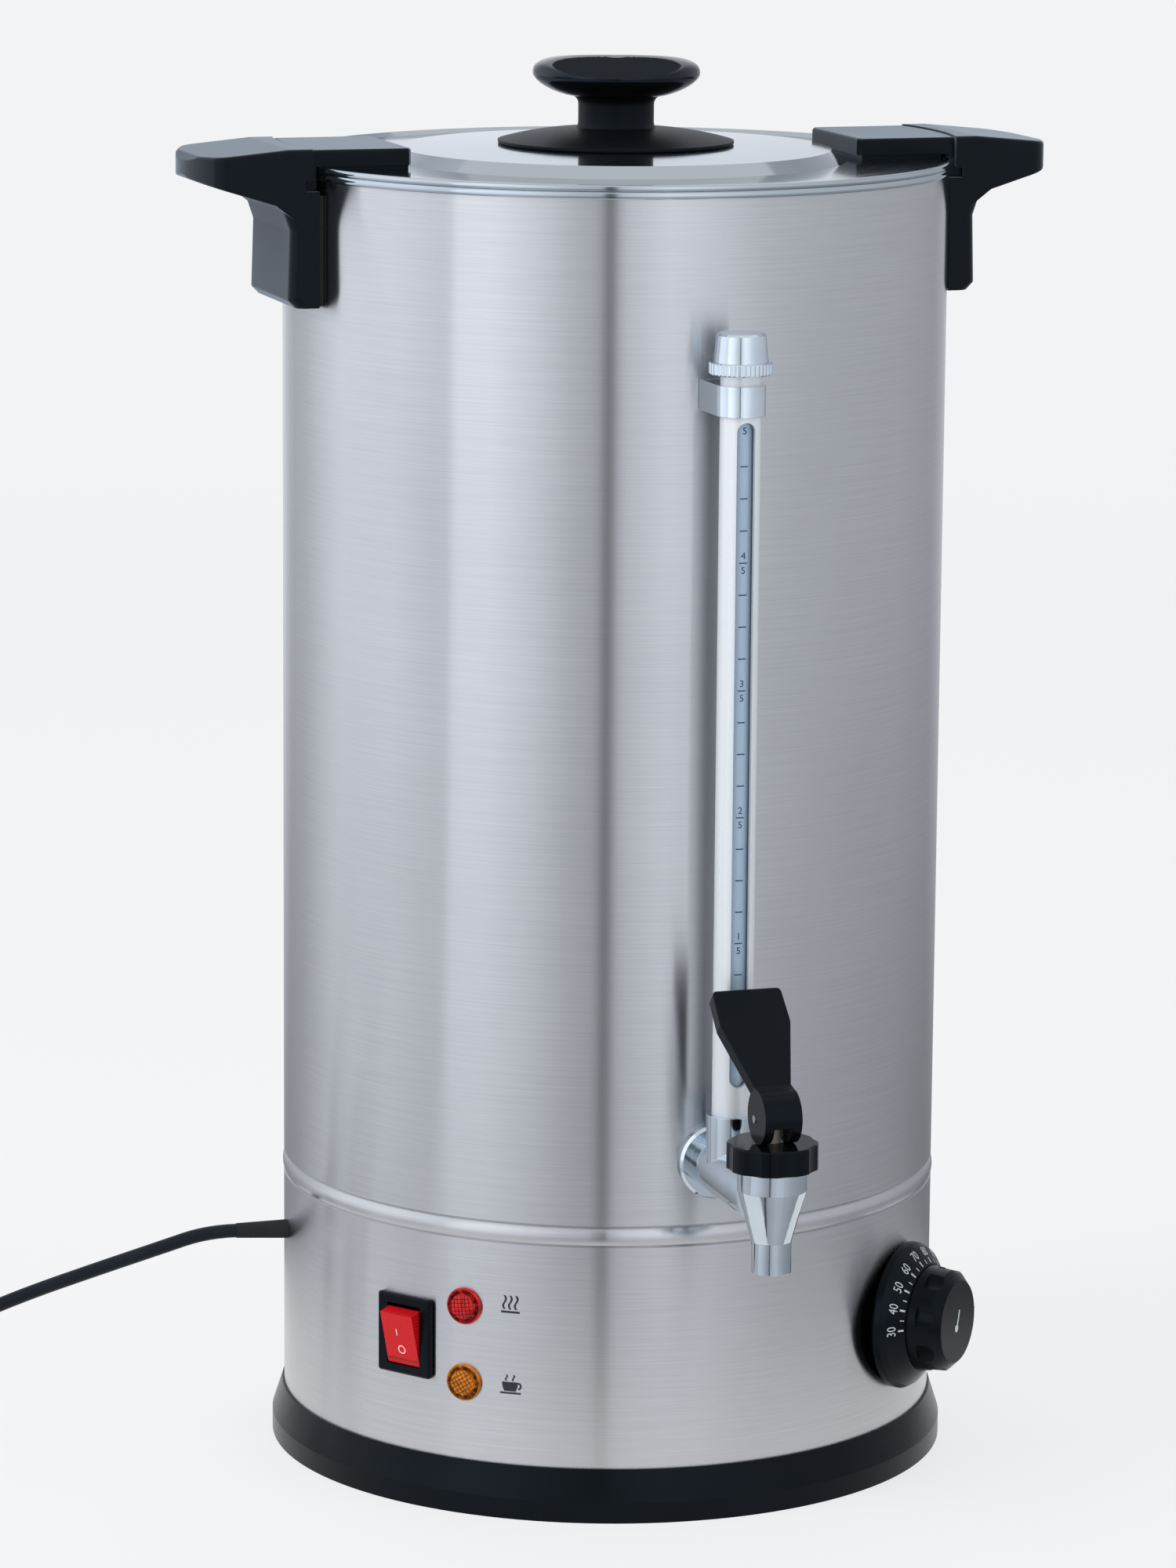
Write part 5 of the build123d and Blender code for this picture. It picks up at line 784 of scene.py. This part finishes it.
def lead_route():
    """The control points of the whole lead: down to the table, round the coil, and to the plug."""
    azimuth = radians(CORD_AZIMUTH)
    out = Vector((sin(azimuth), -cos(azimuth), 0))
    side = Vector((out.y, -out.x, 0))
    points = [out * reach + side * aside + Vector((0, 0, height)) for reach, aside, height in LEAD]
    # Control points of a round curve stand a little outside it.
    inside = cos(pi / TURN_STEPS)
    before, during = ROW_CHANGE
    centre = out * COIL_CENTRE[0] + side * COIL_CENTRE[1]
    for step in range(1, int(COIL_TURNS * TURN_STEPS) + 1):
        turns = step / TURN_STEPS
        shift = sum(smooth_step((turns - row - before) / during) for row in range(len(COIL_ROWS) - 1))
        row = min(int(shift), len(COIL_ROWS) - 2)
        part = shift - row
        (r0, z0), (r1, z1) = COIL_ROWS[row], COIL_ROWS[row + 1]
        radius = r0 + (r1 - r0) * part
        if r0 == r1:
            radius -= CORD_R * sin(pi * part)
        angle = -pi / 2 + 2 * pi * turns
        points.append(centre + (out * cos(angle) + side * sin(angle)) * (radius / inside)
                      + Vector((0, 0, z0 + (z1 - z0) * part)))
    leave = centre + out * COIL_ROWS[-1][0]
    points += [leave + side * aside + out * more + Vector((0, 0, height)) for aside, more, height in TAIL]
    return [p * MM for p in points]


class URN_OT_mains_lead(bpy.types.Operator):
    """Lays the mains lead from the gland to its coil and plug"""
    bl_idname = "urn.mains_lead"
    bl_label = "Mains lead"

    def execute(self, context):
        route = lead_route()
        curve = bpy.data.curves.new("mains_lead", "CURVE")
        curve.dimensions = "3D"
        curve.bevel_depth = CORD_R * MM
        curve.bevel_resolution = 5
        curve.resolution_u = 6
        curve.use_fill_caps = True
        spline = curve.splines.new("NURBS")
        spline.points.add(len(route) - 1)
        for point, place in zip(spline.points, route):
            point.co = (*place, 1)
        spline.order_u = 3
        spline.use_endpoint_u = True
        lead = bpy.data.objects.new("mains_lead", curve)
        context.scene.collection.objects.link(lead)
        curve.materials.append(finish("pvc_jacket"))
        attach(lead, "urn")
        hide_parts("power_cord", "cord_coil")
        dress(finish("satin_abs"), "plug_body")
        dress(finish("stamped_brass"), "plug_pins")
        dress(finish("moulded_rubber"), "cord_gland", "coil_tie")
        return {"FINISHED"}


# ---------------------------------------------------------------- body of the urn


class URN_OT_shells(bpy.types.Operator):
    """Finishes the barrel, the base shell and the tank"""
    bl_idname = "urn.shells"
    bl_label = "Shells and tank"

    def execute(self, context):
        dress(finish("brushed_stainless"), "outer_barrel", "base_shell")
        dress(finish("polished_stainless"), "inner_tank", "tank_band", "tank_floor")
        dress(finish("zinc_plated_steel"), "bottom_plate", "base_screws")
        return {"FINISHED"}


class URN_OT_base_ring(bpy.types.Operator):
    """Finishes the ring and the feet the urn stands on"""
    bl_idname = "urn.base_ring"
    bl_label = "Base ring and feet"

    def execute(self, context):
        dress(finish("satin_abs"), "base_ring")
        dress(finish("moulded_rubber"), "rubber_feet")
        return {"FINISHED"}


class URN_OT_handles(bpy.types.Operator):
    """Finishes the side handles and their gaskets"""
    bl_idname = "urn.handles"
    bl_label = "Handles"

    def execute(self, context):
        dress(finish("spark_textured_abs"), "left_handle", "right_handle")
        dress(finish("moulded_rubber"), "left_gasket", "right_gasket")
        dress(finish("zinc_plated_steel"), "handle_screws")
        return {"FINISHED"}


# ---------------------------------------------------------------- lid and knob


def knob_profile(foot, top):
    """Outline of the lid's knob as (reach, height), from the roof of the screw's hole to the crown."""
    hole, depth = KNOB_HOLE
    edge, rise = KNOB_FLANGE
    undercut, meets = KNOB_UNDERCUT
    line = top - KNOB_HEAD_RISE
    outline = [(0, foot + depth), (hole, foot + depth), (hole, foot), (KNOB_R - KNOB_RIM_CUT, foot),
               (KNOB_R, foot + KNOB_RIM_CUT)]
    for step in range(15):
        reach = KNOB_R - (KNOB_R - KNOB_NECK_R - KNOB_DOME_END) * step / 14
        outline.append((reach, foot + edge + rise * (1 - (reach / KNOB_R) ** KNOB_DOME_POWER)))
    outline += [(KNOB_NECK_R + 0.2, foot + edge + rise + 0.6), (KNOB_NECK_R, foot + edge + rise + 1.8)]
    fillet = line - undercut - KNOB_FILLET
    for step in range(7):
        angle = pi / 2 * (1 - step / 6)
        outline.append((KNOB_NECK_R + KNOB_FILLET * (1 - sin(angle)), fillet + KNOB_FILLET * cos(angle)))
    out_power, down_power = KNOB_UNDER_POWERS
    for step in range(1, 13):
        angle = pi / 2 * (1 - step / 12)
        outline.append((meets + (KNOB_HEAD_R - meets) * cos(angle) ** out_power,
                        line - undercut * sin(angle) ** down_power))
    for step in range(1, 41):
        angle = pi / 2 * step / 40
        outline.append((KNOB_HEAD_R * cos(angle) ** KNOB_CROWN_POWER,
                        line + KNOB_HEAD_RISE * sin(angle) ** KNOB_CROWN_POWER))
    return outline


def press_facets(shell, top):
    """Presses two broad finger facets into the knob's head, front and back, with soft edges.

    The head gets the second finish and the facets the third."""
    fall = (KNOB_HEAD_RISE - KNOB_FACET_RIM) / (KNOB_HEAD_R - KNOB_FACET_START)
    toward = wall(KNOB_FACET_AZIMUTH, 0).col[2].to_3d()
    foot = top - KNOB_HEAD_RISE - KNOB_UNDERCUT[0]
    head = {face for face in shell.faces if face.calc_center_median().z > foot}
    soft = KNOB_FACET_SOFT
    pressed = set()
    for vert in shell.verts:
        over = vert.co.z - (top - fall * (abs(vert.co.dot(toward)) - KNOB_FACET_START))
        if vert.co.z >= top - KNOB_HEAD_RISE and over > -soft:
            vert.co.z -= over if over > soft else (over + soft) ** 2 / (4 * soft)
            if over > KNOB_FACET_MATT:
                pressed.add(vert)
    for face in head:
        face.material_index = 2 if pressed.issuperset(face.verts) else 1


class URN_OT_lid(bpy.types.Operator):
    """Finishes the lid, its lugs and its knob"""
    bl_idname = "urn.lid"
    bl_label = "Lid and knob"

    def execute(self, context):
        dress(finish("polished_stainless"), "lid")
        dress(finish("spark_textured_abs"), "left_lug", "right_lug")
        dress(finish("zinc_plated_steel"), "lug_screws", "knob_screw")

        low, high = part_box("lid_knob")
        top = high[2] / MM - KNOB_CROWN_DIP
        shell = lathe(knob_profile(low[2] / MM, top), KNOB_STEPS)
        bmesh.ops.remove_doubles(shell, verts=shell.verts, dist=0.001)
        press_facets(shell, top)
        knob = make_piece(shell, "moulded_knob", "lid", "black_plastic", finish("soft_sheen_abs"),
                          finish("handled_abs"), finish("matt_abs"))
        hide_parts("lid_knob")
        return {"FINISHED"}


# ---------------------------------------------------------------- level gauge


class URN_OT_gauge(bpy.types.Operator):
    """Finishes the level gauge and prints its scale on the glass"""
    bl_idname = "urn.gauge"
    bl_label = "Level gauge"

    def execute(self, context):
        dress(finish("satin_anodised_tube"), "sight_tube")
        dress(finish("borosilicate_tube"), "sight_glass")
        dress(finish("moulded_silicone"), "sight_seals")
        dress(finish("chrome_plate"), "sight_cap", "tube_clip")
        dress(finish("zinc_plated_steel"), "clip_screw")

        sizes = context.scene.urn_sizes
        first, step = sizes.gauge_first / MM, sizes.gauge_step / MM
        whole = sizes.gauge_fractions
        sheet = bmesh.new()
        lowest = -int((first - GAUGE_BOTTOM) / (step / sizes.gauge_ticks))
        for count in range(lowest, (whole - 1) * sizes.gauge_ticks):
            add_bar(sheet, 0, first + count * step / sizes.gauge_ticks, *TICK)
        for number in range(1, whole):
            line = first + (number - 1) * step
            add_words(sheet, str(number), 0, line + FRACTION_GAP, DIGIT_H)
            add_words(sheet, str(whole), 0, line - FRACTION_GAP, DIGIT_H)
        add_words(sheet, str(whole), 0, first + (whole - 1) * step + DIGIT_H / 2, DIGIT_H)
        press_on(sheet, wall(0, 0, GAUGE_REACH), "sight_glass", 0.4)
        make_piece(sheet, "gauge_scale", "urn", "clear_tube", finish("blue_ink"))
        return {"FINISHED"}


# ---------------------------------------------------------------- tap


class URN_OT_tap(bpy.types.Operator):
    """Finishes the tap, its bonnet, its valve and its lever"""
    bl_idname = "urn.tap"
    bl_label = "Lever tap"

    def execute(self, context):
        dress(finish("chrome_plate"), "tap_body", "tap_flange")
        dress(finish("gloss_abs"), "tap_bonnet")
        dress(finish("satin_abs"), "tap_lever")
        dress(finish("zinc_plated_steel"), "tap_nut", "lever_pin")
        dress(finish("natural_nylon"), "valve_stem")
        dress(finish("moulded_silicone"), "tap_washers", "seat_cup")

        # The spring's upper end stays in the bonnet, so it rides on the urn; the rising valve squeezes it,
        # which this piece does not follow.
        coil = bmesh.new()
        coil.from_mesh(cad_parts["valve_spring"].data)
        bmesh.ops.scale(coil, vec=(1 / MM, 1 / MM, 1 / MM), verts=coil.verts)
        bmesh.ops.remove_doubles(coil, verts=coil.verts, dist=0.0005)
        spring = make_piece(coil, "closing_spring", "urn", "bare_steel", finish("zinc_plated_steel"))
        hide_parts("valve_spring")
        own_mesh(spring)
        return {"FINISHED"}


# ---------------------------------------------------------------- switch


class URN_OT_switch(bpy.types.Operator):
    """Finishes the rocker switch, prints its two marks and paints the shade of its serrated edge on"""
    bl_idname = "urn.switch"
    bl_label = "Rocker switch"

    def execute(self, context):
        dress(finish("satin_abs"), "switch_housing")
        dress(finish("tinted_polycarbonate"), "switch_rocker")
        dress(finish("stamped_brass"), "switch_tabs")

        face = wall(SWITCH_AZIMUTH, SWITCH_HEIGHT)
        marks = bmesh.new()
        add_bar(marks, *ON_MARK)
        add_ring(marks, *OFF_MARK)
        press_on(marks, face, "switch_rocker", 1.0)
        make_piece(marks, "rocker_marks", "rocker", "red_rocker", finish("rocker_ink"))
        # Flat dark bars along the rocker's lower edge: painted shade of its notches.
        notch_shade = bmesh.new()
        for count in range(-GRIP_NOTCHES // 2, GRIP_NOTCHES // 2 + 1):
            add_bar(notch_shade, count * ROCKER_W / (GRIP_NOTCHES + 2), GRIP_Y, *GRIP_NOTCH)
        press_on(notch_shade, face, "switch_rocker", 1.0)
        make_piece(notch_shade, "rocker_notch_shade", "rocker", "red_rocker", finish("red_shade"))
        return {"FINISHED"}


# ---------------------------------------------------------------- lamps


def lens(cell, turn):
    """A round lens in millimetres, standing at z 0, whose face is a grid of small pyramids; the lines between
    them take the second finish, a painted shade.
    """
    shell = bmesh.new()
    count = 2 * ceil(LENS_R / cell) + 2
    bmesh.ops.create_grid(shell, x_segments=count, y_segments=count, size=count * cell / 2,
                          matrix=Matrix.Rotation(radians(turn), 4, "Z"))
    outside = [f for f in shell.faces if f.calc_center_median().length > LENS_R]
    bmesh.ops.delete(shell, geom=outside, context="FACES")
    for vert in shell.verts:
        if vert.co.length > LENS_R - LENS_EDGE:
            vert.co *= LENS_R / vert.co.length
    bmesh.ops.remove_doubles(shell, verts=shell.verts, dist=0.05)
    crown, fall = LENS_CROWN
    for vert in shell.verts:
        vert.co.z = crown - fall * (vert.co.length / LENS_R) ** 2
    cells = shell.faces[:]
    skirt = bmesh.ops.extrude_edge_only(shell, edges=[e for e in shell.edges if e.is_boundary])
    for vert in (v for v in skirt["geom"] if isinstance(v, bmesh.types.BMVert)):
        vert.co.z = 0
    grooves = bmesh.ops.inset_individual(shell, faces=cells, thickness=LENS_GROOVE, depth=0.0)["faces"]
    bmesh.ops.recalc_face_normals(shell, faces=shell.faces)
    # The lines between the pyramids get the painted shade.
    for face in grooves:
        face.material_index = 1
    bmesh.ops.inset_individual(shell, faces=cells, thickness=LENS_CUT[0], depth=LENS_CUT[1])
    return shell


class URN_OT_lamps(bpy.types.Operator):
    """Finishes the two lamps and gives each a faceted lens in a ring of painted shade"""
    bl_idname = "urn.lamps"
    bl_label = "Lamps"

    def execute(self, context):
        cell = context.scene.urn_sizes.lens_cell / MM
        for tint, height in LAMP_HEIGHTS.items():
            glass, groove_shade = finish(f"{tint}_polycarbonate"), finish(f"{tint}_groove")
            dress(glass, f"{tint}_lamp")
            face = wall(LAMP_AZIMUTH, height, BODY_R + LENS_FOOT)
            shell = lens(cell, LENS_TURNS[tint])
            bmesh.ops.transform(shell, matrix=face, verts=shell.verts)
            make_piece(shell, f"{tint}_lens_face", "urn", f"{tint}_lens", glass, groove_shade, smooth=15)
            # A thin ring of painted shade between the lens and the lamp's rim.
            ring = bmesh.new()
            add_ring(ring, 0, 0, LENS_R + RING_GAP, RING_R)
            bmesh.ops.solidify(ring, geom=ring.faces[:], thickness=RING_T)
            bmesh.ops.transform(ring, matrix=face, verts=ring.verts)
            make_piece(ring, f"{tint}_lens_shade_ring", "urn", "black_plastic", groove_shade)
        dress(finish("natural_nylon"), "lamp_bodies")
        return {"FINISHED"}


# ---------------------------------------------------------------- dial


class URN_OT_dial(bpy.types.Operator):
    """Finishes the thermostat's dial and prints its temperatures"""
    bl_idname = "urn.dial"
    bl_label = "Temperature dial"

    def execute(self, context):
        dress(finish("satin_abs"), "dial_bezel", "dial_knob")
        dress(finish("zinc_plated_steel"), "thermostat_spindle")

        sizes = context.scene.urn_sizes
        face = wall(DIAL_AZIMUTH, DIAL_HEIGHT)
        inner, outer = DIAL_TICK_R
        sheet = bmesh.new()
        for half in range(2 * (sizes.dial_last - sizes.dial_first) // sizes.dial_step + 1):
            warmth = half * sizes.dial_step / 2
            angle = radians(DIAL_FIRST_ANGLE - warmth * DIAL_TURN_PER_DEGREE)
            length = (outer - inner) * (DIAL_SHORT if half % 2 else 1)
            middle = inner + length / 2
            add_bar(sheet, middle * cos(angle), middle * sin(angle), length,
                    DIAL_TICK_W[half % 2], angle)
            if half % 2 == 0:
                add_words(sheet, f"{sizes.dial_first + warmth:.0f}", DIAL_DIGITS_R * cos(angle),
                          DIAL_DIGITS_R * sin(angle), DIAL_DIGIT_H, angle - pi / 2)
        press_on(sheet, face, "dial_bezel", 1.0)
        make_piece(sheet, "dial_scale", "urn", "black_plastic", finish("pale_ink"))

        # A plain thermometer on the knob's face.
        mark = bmesh.new()
        add_ring(mark, *BULB)
        add_bar(mark, *STEM)
        add_ring(mark, *TIP)
        bmesh.ops.rotate(mark, verts=mark.verts,
                         matrix=Matrix.Rotation(radians(THERMOMETER_TILT), 3, "Z"))
        press_on(mark, face, "dial_knob", 1.0)
        make_piece(mark, "knob_mark", "dial", "black_plastic", finish("pale_ink"))
        return {"FINISHED"}


# ---------------------------------------------------------------- signs


def add_wave(sheet, x, y, width, height, sway):
    """An upright wavy stroke, as heat is drawn."""
    for vert in add_bar(sheet, x, y, width, height, cells=(1, 20)):
        vert.co.x += sway * sin(2 * pi * (vert.co.y - y) / height)


class URN_OT_signs(bpy.types.Operator):
    """Prints a heat sign beside the upper lamp and a warm cup beside the lower one"""
    bl_idname = "urn.signs"
    bl_label = "Signs"

    def execute(self, context):
        heat = bmesh.new()
        for stroke in (-1, 0, 1):
            add_wave(heat, HEAT_SPACING * stroke, *HEAT_WAVE)
        add_bar(heat, *HEAT_LINE)

        cup = bmesh.new()
        middle, width, height = CUP_BOWL
        for vert in add_bar(cup, 0, middle, width, height, cells=(6, 3)):
            vert.co.x *= 1 - CUP_TAPER * max(0, (middle - vert.co.y) / (height / 2))
        add_ring(cup, *CUP_HANDLE, start=-pi / 2, sweep=pi)
        add_bar(cup, *SAUCER)
        for stroke in (-1, 1):
            add_wave(cup, STEAM_ASIDE * stroke, *STEAM_WAVE)

        for sheet, name, tint in ((heat, "heat_sign", "red"), (cup, "warm_sign", "amber")):
            press_on(sheet, wall(SIGN_AZIMUTH, LAMP_HEIGHTS[tint] + SIGN_RAISE[tint]), "base_shell", 1.5)
            make_piece(sheet, name, "urn", "black_plastic", finish("dark_ink"))
        return {"FINISHED"}


# ---------------------------------------------------------------- works inside the base


class URN_OT_inner_works(bpy.types.Operator):
    """Finishes the heater, the thermostat and the wiring inside the base"""
    bl_idname = "urn.inner_works"
    bl_label = "Inner works"

    def execute(self, context):
        dress(finish("die_cast_aluminium"), "heater_plate")
        dress(finish("zinc_plated_steel"), "heater_pins", "lock_nuts", "thermal_cutout", "capillary_bulb")
        dress(finish("natural_nylon"), "thermostat_body", "terminal_block")
        dress(finish("fibre_sleeving"), "inner_wires")
        dress(finish("mineral_wool"), "insulation_wrap")
        return {"FINISHED"}


# ---------------------------------------------------------------- panel and run

OPERATORS = (URN_OT_stage, URN_OT_mains_lead, URN_OT_shells, URN_OT_base_ring, URN_OT_handles, URN_OT_lid,
             URN_OT_gauge, URN_OT_tap, URN_OT_switch, URN_OT_lamps, URN_OT_dial, URN_OT_signs,
             URN_OT_inner_works)


class URN_PT_panel(bpy.types.Panel):
    """Lists the urn's settings and the steps that dress it"""
    bl_idname = "URN_PT_panel"
    bl_label = "Hot water urn"
    bl_space_type = "VIEW_3D"
    bl_region_type = "UI"
    bl_category = "Urn"

    def draw(self, context):
        for settings in (context.scene.urn_colours, context.scene.urn_sizes):
            for name in settings.__annotations__:
                self.layout.prop(settings, name)
        for operator in OPERATORS:
            self.layout.operator(operator.bl_idname)


CLASSES = (UrnColours, UrnSizes, *OPERATORS, URN_PT_panel)


def register():
    for cls in CLASSES:
        bpy.utils.register_class(cls)
    bpy.types.Scene.urn_colours = PointerProperty(type=UrnColours)
    bpy.types.Scene.urn_sizes = PointerProperty(type=UrnSizes)


def unregister():
    del bpy.types.Scene.urn_sizes
    del bpy.types.Scene.urn_colours
    for cls in reversed(CLASSES):
        bpy.utils.unregister_class(cls)


def main():
    """Runs every step in order."""
    register()
    for operator in OPERATORS:
        group, name = operator.bl_idname.split(".")
        getattr(getattr(bpy.ops, group), name)()


if __name__ == "__main__":
    main()
